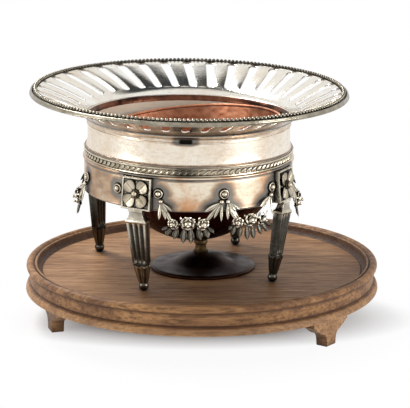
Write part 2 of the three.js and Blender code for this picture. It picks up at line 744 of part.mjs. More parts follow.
function panFoot() {
  const R = PAN_FOOT_RADIUS;
  const H = PAN_FOOT_HEIGHT;
  const flare = (r, z, out) => {
    const head = H - (R - r);
    return bezier([r, z], [r - 26, z + 2], [out + 9, head - 7], [out, head], 3);
  };
  return turned([
    [0, H - PAN_SHEET], [9.5, H - PAN_SHEET - 3],
    ...flare(R - 4, 1.4, 12).slice(0, -1).reverse(),
    [R - 1.5, 0], [R, 0], [R, 2.4],
    ...flare(R - 1, 3.4, 9), [0, H],
  ], PAN_SIDES);
}

piece(pan, 'pan_bowl', copper, panBowl());
piece(pan, 'pan_rim', copper, panRim());
piece(pan, 'pan_stem', brass, panStem().translate([PAN_FOOT_SHIFT / 2, 0, 0]));
piece(pan, 'pan_foot', darkCopper, panFoot().translate([PAN_FOOT_SHIFT, 0, 0]));

export default object;
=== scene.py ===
# %% [markdown]
# A table brazier in three loose parts: a silver frame, a copper pan for embers inside it, and the
# round wooden stand below both. Its solids come in as a fixed frame that carries the sizes, and
# every piece modelled here takes its place from them.

# %% Bring in the frame
from math import cos, hypot, pi, radians, sin, sqrt, tan

import bmesh
import bpy
import numpy as np
from mathutils import Matrix, Vector
from mathutils.kdtree import KDTree


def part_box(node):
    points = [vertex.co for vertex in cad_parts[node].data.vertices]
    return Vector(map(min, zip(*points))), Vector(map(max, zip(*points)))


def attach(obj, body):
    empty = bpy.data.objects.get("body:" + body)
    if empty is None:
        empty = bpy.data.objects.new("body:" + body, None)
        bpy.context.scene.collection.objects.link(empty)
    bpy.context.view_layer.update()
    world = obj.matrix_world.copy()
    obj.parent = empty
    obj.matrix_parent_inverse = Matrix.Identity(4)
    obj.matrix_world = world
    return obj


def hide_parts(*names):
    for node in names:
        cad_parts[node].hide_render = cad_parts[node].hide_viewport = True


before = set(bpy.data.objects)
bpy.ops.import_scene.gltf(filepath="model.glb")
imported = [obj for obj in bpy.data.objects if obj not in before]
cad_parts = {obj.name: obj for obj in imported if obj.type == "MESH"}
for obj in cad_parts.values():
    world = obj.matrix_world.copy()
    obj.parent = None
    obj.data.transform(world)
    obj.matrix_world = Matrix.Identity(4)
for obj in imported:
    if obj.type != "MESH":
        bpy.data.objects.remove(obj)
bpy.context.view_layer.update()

# %% [markdown]
# All sizes are in millimetres. A piece is turned into metres when its mesh is made. The frame leans
# a little on its uneven legs, so its pieces are built upright and then tipped by one matrix. Heights
# on frame and pan count from the stand's floor.

# %% Places of the three parts
BOARD_UNDER, TRAY_FLOOR = [corner.z * 1000 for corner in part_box("stand_board")]
SEATED = 0.3  # clearance under what stands on the board
FRAME_AXIS = -15  # how far right of the board's middle it stands
STEM_AXIS = -1
FOOT_AXIS = STEM_AXIS + 2  # the pan's foot was soldered on a little beside the stem,
BOWL_AXIS = STEM_AXIS - 6  # and its bowl has settled over to the other side
FRAME_LEAN = 0.86  # degrees, down to the right
LEAN_SLOPE = tan(radians(FRAME_LEAN))


def standing_at(x):
    """The place of a part that stands on the board, x mm to the right of its middle."""
    return Matrix.Translation((x, 0, TRAY_FLOOR + SEATED))


PLACES = {
    "stand": Matrix.Identity(4),
    "frame": standing_at(FRAME_AXIS) @ Matrix.Rotation(radians(FRAME_LEAN), 4, "Y"),
}
print(f"floor of the stand {TRAY_FLOOR:.1f} mm above the table")

# %% [markdown]
# The camera stands where the photographer's stood, 2.4 m away and looking down 13.5 degrees through
# a long lens. The ellipses that the round parts make in the photograph gave that.

# %% Camera
VIEW_HEIGHT = 144  # height of the point that the distance is measured from
VIEW_DISTANCE = 2400
VIEW_ANGLE = radians(13.54)
AIM_RIGHT, AIM_DOWN = 3.3, 23.8  # from that point to the middle of the picture
FILM_WIDTH, LENS = 36, 208.45

towards = Vector((0, -cos(VIEW_ANGLE), sin(VIEW_ANGLE)))
view_up = Vector((0, sin(VIEW_ANGLE), cos(VIEW_ANGLE)))
aim = Vector((AIM_RIGHT, 0, VIEW_HEIGHT)) - view_up * AIM_DOWN
camera = bpy.data.objects.new("camera", bpy.data.cameras.new("camera"))
camera.location = (Vector((0, 0, VIEW_HEIGHT)) + towards * VIEW_DISTANCE) / 1000
camera.rotation_euler = (camera.location - aim / 1000).to_track_quat("Z", "Y").to_euler()
camera.data.sensor_width, camera.data.lens = FILM_WIDTH, LENS
scene = bpy.context.scene
scene.collection.objects.link(camera)
scene.camera = camera
scene.view_settings.view_transform = "Standard"
print("camera at", [round(v, 3) for v in camera.location])

# %% [markdown]
# A finish is a chain of nodes that ends in the shader. One small class stands for a socket and lets
# it be written as sums: `1 - mask`, `grain * 0.3 + 0.1`. Its method `node` makes every node.

# %% Sums on sockets
class Field:
    """A number, colour or place on its way through a finish."""

    def __init__(self, tree, socket=None):
        self.tree = tree
        self.socket = socket

    def node(self, kind, settings=None, inputs=None, output=0):
        made = self.tree.nodes.new(kind)
        for name, value in (settings or {}).items():
            setattr(made, name, value)
        for name, value in (inputs or {}).items():
            plug(self.tree, made.inputs[name], value)
        return Field(self.tree, made.outputs[output])

    def sum(self, operation, first, second):
        return self.node("ShaderNodeMath", {"operation": operation}, {0: first, 1: second})

    def __add__(self, other):
        return self.sum("ADD", self, other)

    def __mul__(self, other):
        return self.sum("MULTIPLY", self, other)

    def __sub__(self, other):
        return self.sum("SUBTRACT", self, other)

    def __rsub__(self, other):
        return self.sum("SUBTRACT", other, self)

    def __or__(self, other):
        return self.sum("MAXIMUM", self, other)

    def vector(self, operation, other=(0, 0, 0), output="Vector"):
        return self.node("ShaderNodeVectorMath", {"operation": operation}, {0: self, 1: other}, output)

    def stretched(self, x, y, z):
        return self.vector("MULTIPLY", (x, y, z))

    def noise(self, scale, detail=3.0, roughness=0.55):
        values = {"Vector": self, "Scale": scale, "Detail": detail, "Roughness": roughness}
        return self.node("ShaderNodeTexNoise", None, values)

    def between(self, low, high):
        """0 up to the low value, 1 from the high one, and even in between."""
        return self.node("ShaderNodeMapRange", None, {"Value": self, "From Min": low, "From Max": high})

    def mix(self, first, second):
        """The first colour where this is 0, the second where it is 1."""
        return self.node("ShaderNodeMix", {"data_type": "RGBA"}, {0: self, 6: first, 7: second}, 2)


def shade(red, green, blue):
    """A colour as the eye reads it, from 0 to 255, as the amounts of light that shaders use."""
    parts = [c / 255 / 12.92 if c < 11 else ((c / 255 + 0.055) / 1.055) ** 2.4
             for c in (red, green, blue)]
    return (*parts, 1.0)


def plug(tree, socket, value):
    """Links a field to a socket or sets a value on it. Three numbers for a colour are a shade."""
    if isinstance(value, Field):
        tree.links.new(value.socket, socket)
    elif socket.type == "RGBA" and len(value) == 3:
        socket.default_value = shade(*value)
    else:
        socket.default_value = value


def new_finish(name):
    """A new material, with the place on the object as the first field."""
    material = bpy.data.materials.new(name)
    material.use_nodes = True
    return material, Field(material.node_tree).node("ShaderNodeTexCoord", output="Object")


def finish(material, colour, roughness, metallic=0.0, specular=0.5, relief=None, depth=0.0):
    """Plugs the values into the shader, and a relief of the given depth in metres into its normal."""
    tree = material.node_tree
    sockets = tree.nodes["Principled BSDF"].inputs
    for name, value in (("Base Color", colour), ("Roughness", roughness), ("Metallic", metallic),
                        ("Specular IOR Level", specular)):
        plug(tree, sockets[name], value)
    if relief:
        bump = relief.node("ShaderNodeBump", None, {"Height": relief, "Distance": depth})
        plug(tree, sockets["Normal"], bump)
    print(f"finish {material.name}: {len(tree.nodes)} nodes")
    return material


def layered(base, *layers):
    """Colours laid over a base one after another, each where its mask is 1."""
    for mask, colour in layers:
        base = mask.mix(base, colour)
    return base


# %% [markdown]
# Old silver plate is a warm white that yellows in soft clouds. Polish never reaches the metal beside
# an applied ornament, so a grey halo stays round it. Each mesh carries a number called `tint` for
# that, which also carries painted shade and painted dark reflections: 0 is open metal and 1 is right
# beside an ornament or fully painted dark. Inside the neck -1 is plate worn to its copper and -2 is ash.

# %% Silver sheet
def scratches(where):
    """Fine lines that run mostly level."""
    return where.stretched(1, 1, 9).noise(260, 2, 0.7)


def tint_of(where):
    return where.node("ShaderNodeAttribute", {"attribute_name": "tint"}, output="Fac")


YELLOW_SPOTS, BROWN_SPECKS, BROWN_EDGE = (188, 150, 112), (150, 118, 90), (160, 124, 94)
GREY_HALO, BLACK_TARNISH = (112, 113, 110), (24, 22, 18)
WORN_DARK, WORN_WARM, ASH_WHITE = (44, 26, 19), (112, 70, 52), (250, 236, 216)


def silver_sheet(name, clean, cloudy, warm, warmth, roughness):
    material, where = new_finish(name)
    tint = tint_of(where)
    clouds = where.noise(16, 4).between(0.38, 0.66)
    warm_spots = where.stretched(1, 1, 0.7).noise(38, 5, 0.62).between(0.46, 0.7) * warmth
    specks = where.noise(420, 2).between(0.6, 0.75) * 0.25
    grain = where.stretched(1, 1, 2.4).noise(130, 5, 0.7).between(0.48, 0.62)
    ragged = tint + where.stretched(1, 1, 1.6).noise(60, 4, 0.6) * 0.5 - 0.25
    halo = ragged.between(0.42, 0.62)
    worn = where.noise(50, 4).between(0.4, 0.62).mix(WORN_DARK, WORN_WARM)
    ash = (0 - tint).between(1.2, 1.9)
    metal = layered(clouds.mix(clean, cloudy), (warm_spots, warm), (grain * 0.4 * warmth, YELLOW_SPOTS),
                    (specks * warmth, BROWN_SPECKS), (ragged.between(0.2, 0.45) * 0.75, BROWN_EDGE),
                    (halo * 0.85, GREY_HALO), (tint.between(0.9, 0.98), BLACK_TARNISH),
                    ((0 - tint).between(0.2, 0.8), worn), (ash, ASH_WHITE))
    rough = clouds * 0.08 + halo * 0.12 + scratches(where) * 0.07 + ash * 0.3 + (roughness - 0.05)
    relief = where.noise(28, 2) * 0.6 + scratches(where) * 0.12 + where.noise(500, 2) * 0.06
    return finish(material, metal, rough, 1 - ash * 0.7, relief=relief, depth=0.0006)


SILVER_FLANGE = silver_sheet("silver_of_flange", (242, 240, 233), (226, 219, 205), (214, 190, 158),
                             0.3, 0.12)
SILVER_NECK = silver_sheet("silver_of_neck", (242, 234, 220), (233, 220, 202), (224, 200, 170), 0.5, 0.24)
SILVER_BAND = silver_sheet("silver_of_band", (236, 224, 202), (212, 196, 172), (205, 150, 108), 1.0, 0.3)

# %% [markdown]
# Castings are polished only where a cloth reaches. Their hollows keep the black tarnish that makes
# the ornament readable. An Ambient Occlusion node finds them: it is dark wherever nearby metal
# stands over the point.

# %% Cast silver
def hollows(where, reach, low, high):
    """1 deep in a hollow and 0 on open metal; reach is in metres."""
    sky = where.node("ShaderNodeAmbientOcclusion", {"samples": 8}, {"Distance": reach}, "AO")
    return 1 - sky.between(low, high)


CAST_TARNISH = (26, 23, 19)


def silver_cast(name, bright, dull, reach, low, high, gloss=0.2, relief=0.0004):
    material, where = new_finish(name)
    clouds = where.noise(90, 3).between(0.35, 0.7)
    dark = (hollows(where, reach, low, high) + where.noise(600, 2) * 0.3 - 0.12).between(0.05, 0.75)
    metal = layered(clouds.mix(bright, dull), (dark | tint_of(where), CAST_TARNISH))
    grain = where.noise(300, 3) * 0.5 + where.noise(900, 2) * 0.2
    return finish(material, metal, clouds * 0.08 + dark * 0.25 + gloss, 1.0, relief=grain, depth=relief)


CAST_ORNAMENT = silver_cast("silver_of_ornaments", (240, 231, 211), (192, 179, 156), 0.004, 0.5, 0.95)
CAST_LEG = silver_cast("silver_of_legs", (228, 220, 202), (174, 163, 144), 0.005, 0.5, 0.92)
CAST_FLOWER = silver_cast("silver_of_flowers", (226, 214, 190), (178, 164, 140), 0.003, 0.5, 0.9,
                          0.34, 0.0009)
CAST_RIM = silver_cast("silver_of_rim", (176, 168, 151), (132, 122, 106), 0.003, 0.45, 0.9)
CAST_MOULDING = silver_cast("silver_of_moulding", (222, 210, 188), (182, 168, 144), 0.003, 0.25, 0.8)

# %% [markdown]
# The pan is beaten copper. Embers keep its inside a scaled orange with dark clouds, while the
# outside has burnt to a deep red-brown and the foot nearly to black. Here `tint` is 1 on clean
# copper inside, less to the left where shade is painted on it, and 0 outside.

# %% Copper and brass
PALE_SCALE = (255, 206, 168)


def copper(name, inside, inside_dark, outside, outside_warm, roughness, beating=1.0):
    material, where = new_finish(name)
    clouds = where.noise(14, 5, 0.6).between(0.36, 0.62)
    scale = where.noise(70, 4).between(0.45, 0.7)
    inner = layered(inside, (clouds * 0.8, inside_dark), (scale * 0.35, PALE_SCALE))
    outer = (clouds * scale).mix(outside, outside_warm)
    beaten = where.node("ShaderNodeTexVoronoi", {"feature": "SMOOTH_F1"},
                        {"Vector": where, "Scale": 160.0, "Smoothness": 0.8})
    rough = scale * 0.15 + clouds * 0.1 + tint_of(where) * 0.12 + roughness
    return finish(material, tint_of(where).mix(outer, inner), rough, 1.0,
                  relief=beaten * 0.7 + where.noise(300, 3) * 0.25, depth=0.0012 * beating)


COPPER = copper("beaten_copper", (232, 160, 122), (96, 58, 42), (62, 24, 18), (112, 50, 36), 0.34)
DARK_COPPER = copper("burnt_copper", (70, 52, 42), (40, 30, 26), (46, 26, 18), (80, 52, 37),
                     0.34, 0.15)
BRASS = copper("dull_brass", (116, 94, 66), (70, 56, 36), (104, 84, 56), (46, 36, 20), 0.4)

# %% [markdown]
# The stand is an oiled hardwood, sawn along the trunk. Noise stretched along X gives its streaks, a
# finer one its open pores, and the same hollows as in the silver are darkened. `tint` is above 0
# where dirt and painted shade lie, and below 0 where wear and painted light make the wood lighter.

# %% Wood
GRAIN_SHIFT = (3.1, 0.4, 1.7)  # moves the streaks to where the photograph has them
DARK_PORES, WORN_AND_LIT_WOOD, DIRT_AND_SHADE = (62, 38, 22), (212, 168, 124), (62, 37, 23)


def wood(name, pale, middle, dark, groove_reach):
    material, where = new_finish(name)
    streaks = where.stretched(1, 7, 7).vector("ADD", GRAIN_SHIFT).noise(9, 5, 0.6).between(0.4, 0.62)
    fine = where.stretched(1, 12, 12).noise(30, 5, 0.7).between(0.43, 0.62)
    pores = where.stretched(0.35, 9, 9).noise(150, 2, 0.6).between(0.6, 0.72)
    blotches = where.noise(11, 3).between(0.4, 0.7)
    # Hollows and tint above 0 take the colour of dirt and painted shade; tint below 0 takes worn wood and
    # painted light.
    groove = hollows(where, groove_reach, 0.5, 0.95) | tint_of(where)
    timber = layered(streaks.mix(pale, middle), (fine * 0.7, dark), (blotches * 0.3, dark),
                     (pores * 0.6, DARK_PORES), (tint_of(where) * -1 * (1 - fine * 0.4), WORN_AND_LIT_WOOD),
                     (groove * 0.85, DIRT_AND_SHADE))
    return finish(material, timber, fine * 0.1 + pores * 0.15 + 0.5, specular=0.3,
                  relief=fine * 0.3 - pores * 0.5 + streaks * 0.2, depth=0.0003)


WOOD_BOARD = wood("oiled_wood_of_board", (194, 148, 102), (158, 114, 76), (100, 66, 42), 0.006)
WOOD_RIM = wood("oiled_wood_of_rim", (188, 140, 92), (136, 96, 64), (80, 50, 32), 0.009)
# The feet take a paler copy of the rim's wood, which paints the light falling on them.
LIT_WOOD_FEET = wood("oiled_wood_of_feet_painted_light", (222, 176, 126), (182, 138, 98), (116, 78, 50), 0.009)

# %% [markdown]
# The floor is paper lit from below, as on a light table. Camera and metal see it as white, and only
# round the stand is it unlit and keeps the soft shadow of the lamps. Light Path tells what is seen
# from the light that falls on the brazier. The world is white too, but for the studio's dark
# ceiling, which polished silver mirrors.

# %% Floor and world
def seen_directly(field):
    """1 for what the camera sees, also in a mirror or through glass, and 0 for stray light."""
    rays = ["Is Camera Ray", "Is Glossy Ray", "Is Transmission Ray"]
    camera_ray, mirrored, through = [field.node("ShaderNodeLightPath", output=ray) for ray in rays]
    return camera_ray | mirrored | through


FLOOR_HALF = 4.0
UNLIT_TO, LIT_FROM = 0.054, 0.112  # metres from the middle, measured along Y
NEAR_WHITE, WHITE_FROM, WHITE_AT = 0.94, 0.16, 0.24  # the paper turns pure white further out
bpy.ops.mesh.primitive_plane_add(size=2 * FLOOR_HALF)
floor = bpy.context.object
floor.name = "floor"
paper, where = new_finish("white_paper")
finish(paper, (0.88, 0.88, 0.88, 1), 0.9, specular=0.0)
lit = where.stretched(0.5, 1, 1).vector("LENGTH", output="Value").between(UNLIT_TO, LIT_FROM)
far_off = where.vector("LENGTH", output="Value").between(WHITE_FROM, WHITE_AT)
whiteness = lit * (far_off * (1 - NEAR_WHITE) + NEAR_WHITE)
paper_light = where.node("ShaderNodeEmission", None, {"Color": (1, 1, 1, 1), "Strength": 1.0})
shader, end = [paper.node_tree.nodes[name] for name in ("Principled BSDF", "Material Output")]
blend = where.node("ShaderNodeMixShader", None, {0: seen_directly(where) * whiteness,
                                                 1: Field(where.tree, shader.outputs[0]), 2: paper_light})
plug(where.tree, end.inputs["Surface"], blend)
floor.data.materials.append(paper)

WHITE_TOWARDS = (-0.344, 0.936, 0.092)  # middle of the white wall behind
WHITE_REACH = 0.6  # cosine of the angle at which the wall ends
CEILING = (0.05, 0.055, 0.06, 1)
STRAY_LIGHT = 0.38  # how much light the world sheds, as a share of how it looks
world = bpy.data.worlds.new("studio")
scene.world = world
world.use_nodes = True
sky = Field(world.node_tree)
direction = sky.node("ShaderNodeTexCoord", output="Generated")
height, depth = [sky.node("ShaderNodeSeparateXYZ", None, {0: direction}, axis) for axis in "ZY"]
wall = direction.vector("DOT_PRODUCT", WHITE_TOWARDS, "Value")
seen = seen_directly(sky)
ceiling = (1 - wall.between(WHITE_REACH - 0.01, WHITE_REACH + 0.01)) * depth.between(-0.12, 0.0)
ceiling = ceiling * height.between(0.7, 0.8) * seen
light = sky.tree.nodes["Background"].inputs
plug(sky.tree, light["Color"], ceiling.mix((1, 1, 1, 1), CEILING))
plug(sky.tree, light["Strength"], seen * (1 - STRAY_LIGHT) + STRAY_LIGHT)

# %% [markdown]
# Three wide lamps light the brazier softly: the strongest above and behind on the left, so that its
# shadow lies on the front of the board, and two weaker ones low down at its sides.

# %% Lamps
LAMPS_AIM = Vector((0, 0, 0.12))


def lamp(name, place, size, watts):
    light = bpy.data.lights.new(name, "AREA")
    light.shape = "DISK"
    light.size = size
    light.energy = watts
    thing = bpy.data.objects.new(name, light)
    thing.location = place
    thing.rotation_euler = (Vector(place) - LAMPS_AIM).to_track_quat("Z", "Y").to_euler()
    scene.collection.objects.link(thing)
    print(f"lamp {name}: {watts} W, {size} m across")


lamp("lamp_above", (-0.8, 0.8, 1.7), 0.8, 34)
lamp("lamp_left", (-2.0, -0.8, 0.6), 1.0, 12)
lamp("lamp_right", (1.9, -1.0, 0.5), 1.0, 22)

# %% [markdown]
# A shape is a list of points and the faces between them. Most of the brazier was turned, spun or
# cast, and three moves make all of it: a section turned round an axis, a skin lofted over rings, and
# copies set round the axis. The mesh of a piece is made once, at the end.

# %% Shapes
class Shape:
    """Points in millimetres, the faces between them, and a tint for each point."""

    def __init__(self, points, faces, tint=None):
        self.points = np.array(points, float).reshape(-1, 3)
        self.faces = faces
        self.tint = np.zeros(len(self.points)) if tint is None else np.array(tint, float)

    def placed(self, matrix):
        rows = np.array(matrix)
        return Shape(self.points @ rows[:3, :3].T + rows[:3, 3], self.faces, self.tint)

    def moved(self, x=0.0, y=0.0, z=0.0):
        return self.placed(Matrix.Translation((x, y, z)))

    def rotated(self, degrees, axis="Z"):
        return self.placed(Matrix.Rotation(radians(degrees), 4, axis))

    def scaled(self, x=1.0, y=1.0, z=1.0):
        return self.placed(Matrix.Diagonal((x, y, z, 1)))

    def __add__(self, other):
        return together([self, other])


def together(shapes):
    """Several shapes as one."""
    faces, start = [], 0
    for shape in shapes:
        faces += [tuple(corner + start for corner in face) for face in shape.faces]
        start += len(shape.points)
    return Shape(np.vstack([shape.points for shape in shapes]), faces,
                 np.concatenate([shape.tint for shape in shapes]))


def ringed(shape, count, axis="Z"):
    """Copies of a shape, set evenly round an axis."""
    return together([shape.rotated(360 * i / count, axis) for i in range(count)])


def turned(section, sides=192, tints=None):
    """A section of (radius, height) points as it comes off the lathe, round Z."""
    radius, height = np.array(section, float).T
    angle = np.arange(sides) * 2 * pi / sides
    points = np.stack((np.outer(np.cos(angle), radius), np.outer(np.sin(angle), radius),
                       np.tile(height, (sides, 1))), axis=-1)
    n = len(section)
    steps = [j for j in range(n) if radius[j] > 1e-6 or radius[(j + 1) % n] > 1e-6]
    faces = [(i * n + j, (i + 1) % sides * n + j, (i + 1) % sides * n + (j + 1) % n, i * n + (j + 1) % n)
             for i in range(sides) for j in steps]
    return Shape(points, faces, None if tints is None else np.tile(tints, sides))


def lofted(rings, tints=None):
    """A skin over rings of as many points each, closed at both ends; tints are for rings or points."""
    n = len(rings[0])
    faces = [(i * n + j, i * n + (j + 1) % n, (i + 1) * n + (j + 1) % n, (i + 1) * n + j)
             for i in range(len(rings) - 1) for j in range(n)]
    last = (len(rings) - 1) * n
    faces += [tuple(range(n)), tuple(range(last, last + n))]
    if tints is not None and len(tints) == len(rings):
        tints = np.repeat(tints, n)
    return Shape(rings, faces, tints)


# %% Curves for sections
def bezier(start, pull_start, pull_end, end, steps):
    """Points along a cubic curve, without the last one."""
    corners = np.array((start, pull_start, pull_end, end), float).T
    return [tuple(corners @ ((1 - t) ** 3, 3 * t * (1 - t) ** 2, 3 * t * t * (1 - t), t ** 3))
            for t in np.arange(steps) / steps]


def arc(centre, radius, start, end, steps=8, tall=1.0):
    """Points on a circle from one angle to another, in degrees. It can be taller than it is wide."""
    angles = [radians(start + (end - start) * i / steps) for i in range(steps + 1)]
    return [(centre[0] + radius * cos(a), centre[1] + radius * tall * sin(a)) for a in angles]


def around(radius, angle, height):
    """A point on an upright cylinder, by its angle in degrees."""
    return Vector((radius * cos(radians(angle)), radius * sin(radians(angle)), height))


def near(values, middle, reach, power=2):
    """1 at the middle, falling off to both sides over the reach."""
    return np.exp(-(abs(values - middle) / reach) ** power)


# %% Shapes into pieces
def piece(name, shape, material, body, node, crease=32, place=None):
    """One piece of the object: its mesh, its finish, and the body that it moves with."""
    whole = shape.placed(place or PLACES[body])
    mesh = bpy.data.meshes.new(name)
    mesh.from_pydata((whole.points / 1000).tolist(), [], whole.faces)
    mesh.attributes.new("tint", "FLOAT", "POINT").data.foreach_set("value", whole.tint)
    melted = bmesh.new()
    melted.from_mesh(mesh)
    bmesh.ops.remove_doubles(melted, verts=melted.verts, dist=5e-6)
    bmesh.ops.recalc_face_normals(melted, faces=melted.faces)
    melted.to_mesh(mesh)
    melted.free()
    mesh.shade_smooth()
    mesh.set_sharp_from_angle(angle=radians(crease))
    mesh.materials.append(material)
    thing = bpy.data.objects.new(name, mesh)
    scene.collection.objects.link(thing)
    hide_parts(node)
    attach(thing, body)
    print(f"{name}: {len(mesh.polygons)} faces")


# %% [markdown]
# The stand's board is one flat disc. Only its top shows, between the rim and the pan.

# %% Board of the stand
BOARD_RADIUS = 162.2
board = turned([(0, BOARD_UNDER), (BOARD_RADIUS - 0.5, BOARD_UNDER), (BOARD_RADIUS, BOARD_UNDER + 0.5),
                (BOARD_RADIUS, TRAY_FLOOR - 0.6), (BOARD_RADIUS - 0.6, TRAY_FLOOR),
                *[(r, TRAY_FLOOR) for r in range(150, -1, -15)]])
x, y, z = board.points.T
board.tint = 0.62 * near(x, 0, 100) * near(y, -105, 52)  # painted shadow of the brazier on the front of the board
piece("board_of_stand", board, WOOD_BOARD, "stand", "stand_board")

# %% [markdown]
# The rim was turned too: an ovolo at the foot, a cove between two fillets, a roll, and inside it a
# groove, a small bead and a drop to the board. Each stretch of the section says where it is counted
# from, where its points are and how dark each one is.

# %% Rim of the stand
RIM_OUT, RIM_TOP = [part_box("stand_rim")[1][axis] * 1000 for axis in (0, 2)]
JOINT = BOARD_RADIUS + 0.1
low_out, high_out, high_in = (RIM_OUT, BOARD_UNDER), (RIM_OUT, TRAY_FLOOR), (JOINT, TRAY_FLOOR)
# The tints paint shade, with some dirt, into the fillets, the groove, under the roll and down the drop to
# the board; the lighter edge, ovolo and bead are painted light with wear.
STRETCHES = {
    "underside": ((JOINT, BOARD_UNDER), [(0, 0)], [0.3]),
    "edge": (low_out, [(-1.4, 0), (-0.5, 0.5)], [0, -0.5]),
    "ovolo": (low_out, arc((-5.2, 1), 5, 4, 80, 9, tall=1.36), [-0.3] * 6 + [-0.2, 0, 0.2, 0.6]),
    "lower fillet": (low_out, [(-4.7, 8), (-5.2, 8.8)], [1, 1]),
    "cove": (low_out, bezier((-4.7, 9.4), (-4.5, 12.5), (-4.1, 16), (-3.3, 19.6), 6), [0.4] + [0] * 5),
    "upper fillet": (high_out, [(-3.8, 0.3), (-3.9, 1.5)], [0.6, 1]),
    "roll": (high_out, arc((-4.9, 5), 3.8, -55, 138, 16), [0.9, 0.5, 0.2] + [0] * 14),
    "groove": (high_in, [(8, 6.2), (7.7, 6.2)], [1, 1]),
    "bead": (high_in, arc((6.3, 6.2), 1.45, 25, 175, 8), [0.4] + [-0.1] * 6 + [0.4, 0.7]),
    "drop": (high_in, [(4.5, 4.4), (3.1, 2), (1.7, 0.5), (0.7, -0.3), (0, -0.8)], [0.9, 1, 1, 1, 1]),
}
rim_section, rim_tints = [], []
for (radius, height), points, tints in STRETCHES.values():
    assert len(points) == len(tints), points
    rim_section += [(radius + r, height + z) for r, z in points]
    rim_tints += tints
print(f"rim of the stand {RIM_TOP - BOARD_UNDER:.1f} mm high, {RIM_OUT - JOINT:.1f} mm wide")
piece("rim_of_stand", turned(rim_section, 256, rim_tints), WOOD_RIM, "stand", "stand_rim")

# %% [markdown]
# Each foot is a bracket sawn to an ogee from a 13 mm board. Its outline is lofted through the
# thickness, a little smaller at both faces so that the edges are eased.

# %% Feet of the stand
STAND_FEET = {1: (-163, 0.85), 2: (-37, -0.1), 3: (80, 0.4)}  # angle, and painted shade on the outer face, painted light where below 0
FOOT_BACK, FOOT_FRONT = 147, 160
FOOT_TOP = BOARD_UNDER - 0.3
EASED_OVER = (20, 17)  # half the width and height that a face is drawn in over
half_foot = ([(7.5, 0)] + bezier((7.5, 0.8), (8, 9), (9, 13), (15, 14.5), 8)
             + bezier((15, 14.5), (20, 16), (24, 20), (29, 23), 8) + [(29, 23), (29, FOOT_TOP)])
foot_outline = half_foot + [(-y, z) for y, z in reversed(half_foot)]


def foot_ring(x, inset):
    wide, tall = EASED_OVER
    return [(x, y * (1 - inset / wide), tall + (z - tall) * (1 - inset / tall)) for y, z in foot_outline]


# The rings darken towards the inner face of each foot as painted shade.
stand_foot = lofted([foot_ring(FOOT_BACK, 0.8), foot_ring(FOOT_BACK + 0.7, 0), foot_ring(FOOT_BACK + 6, 0),
                     foot_ring(FOOT_FRONT - 0.7, 0), foot_ring(FOOT_FRONT, 0.8)], [0.9, 0.8, 0.6, 0.1, 0])
for number, (angle, front_shade) in STAND_FEET.items():
    stand_foot.tint[-len(foot_outline):] = front_shade
    turned_foot = stand_foot.rotated(angle)
    piece(f"bracket_foot_{number}", turned_foot, LIT_WOOD_FEET, "stand", f"stand_foot_{number}", 40)

# %% [markdown]
# The neck is spun silver: a plain wall, a small fillet, and a cove that turns out to meet the
# flange.

# %% Neck
neck_outside = ([(100.5, 127), (104.5, 127), (104.4, 127.7)]
                + bezier((104.2, 128), (102.6, 128.4), (102, 129.6), (101.8, 131.5), 6)
                + [(101.8, 136), (101.7, 141), (101.8, 146), (101.8, 149.6)]
                + arc((101.9, 150.6), 0.95, -80, 80, 6)
                + bezier((102, 151.8), (101.6, 153.6), (102.8, 155.6), (105.7, 157.6), 8)
                + [(105.7, 157.6)])
neck_inside = ([(104.3, 157.7)] + bezier((104.3, 157.7), (102.4, 156), (100.8, 154.5), (100.5, 152), 5)
               + [(100.5, 152), (100.5, 151.2), (100.5, 149), (100.5, 140)])
SOLDER, WORN, ASH = 0.5, -1, -2  # tints inside, from the top down
SOLDER_DOWN_TO, WORN_DOWN_TO = 157, 151.9
DARK_REFLECTION_ANGLE, DARK_REFLECTION_REACH = -91.5, 7  # a painted dark reflection in the middle of the front, in degrees


def turn_of(x, y):
    """The angles of points round the axis, in degrees."""
    return np.degrees(np.arctan2(y, x))


def dark_reflection(x, y):
    """How strong the painted dark reflection is in the direction of each point."""
    return np.minimum(1, 1.3 * near(turn_of(x, y), DARK_REFLECTION_ANGLE, DARK_REFLECTION_REACH))


NECK_SIDES = 256
spun_neck = turned(neck_outside + neck_inside, NECK_SIDES)
x, y, z = spun_neck.points.T
# The cove is greyed all round as a painted dark reflection.
cove_reflection = 0.35 * near(z, 153, 3.5)
at_foot = 0.8 * near(z, 127.8, 0.9, 1)
# A painted dark reflection blackens the cove in the middle of the front.
reflected_dark = dark_reflection(x, y) * near(z, 152.3, 4.6, 4)
inner = np.select((z > SOLDER_DOWN_TO, z > WORN_DOWN_TO), (SOLDER, WORN), ASH)
is_inner = np.tile([False] * len(neck_outside) + [True] * len(neck_inside), NECK_SIDES)
spun_neck.tint = np.where(is_inner, inner, np.maximum(cove_reflection + at_foot, reflected_dark))
piece("spun_neck", spun_neck, SILVER_NECK, "frame", "neck")

# %% [markdown]
# The flange is the showpiece: 38 slots sawn through a spun trumpet, each a little aslant, with
# slightly domed strips between them. The strips and the sheet round them are one grid of quads,
# along the flange's curve one way and across a strip the other. Where a slot is open the grid gets
# side walls, and where it is closed neighbouring strips weld.

# %% Line of the flange
SLOTS = 38
SLOT_PITCH = 360 / SLOTS
SLOT_HALF = SLOT_PITCH * 0.4 / 2  # two fifths of the pitch is open
SLOT_SWIRL = 3.3
SLOT_PHASE = 2.8
SLOT_START, SLOT_END = 0.28, 0.975  # along the curve's own parameter
SHEET = 1.4
STRIP_DOME = 0.45
STEPS = 400

flange_line = np.array(bezier((105, 158), (106, 164), (126, 172.5), (152, 182.8), STEPS) + [(152, 182.8)])
flange_run = np.concatenate(([0], np.cumsum(np.hypot(*np.diff(flange_line, axis=0).T))))
slot_from, slot_to = np.interp((SLOT_START * STEPS, SLOT_END * STEPS), range(STEPS + 1), flange_run)
print(f"slots {slot_to - slot_from:.1f} mm long on a flange {flange_run[-1]:.1f} mm deep")


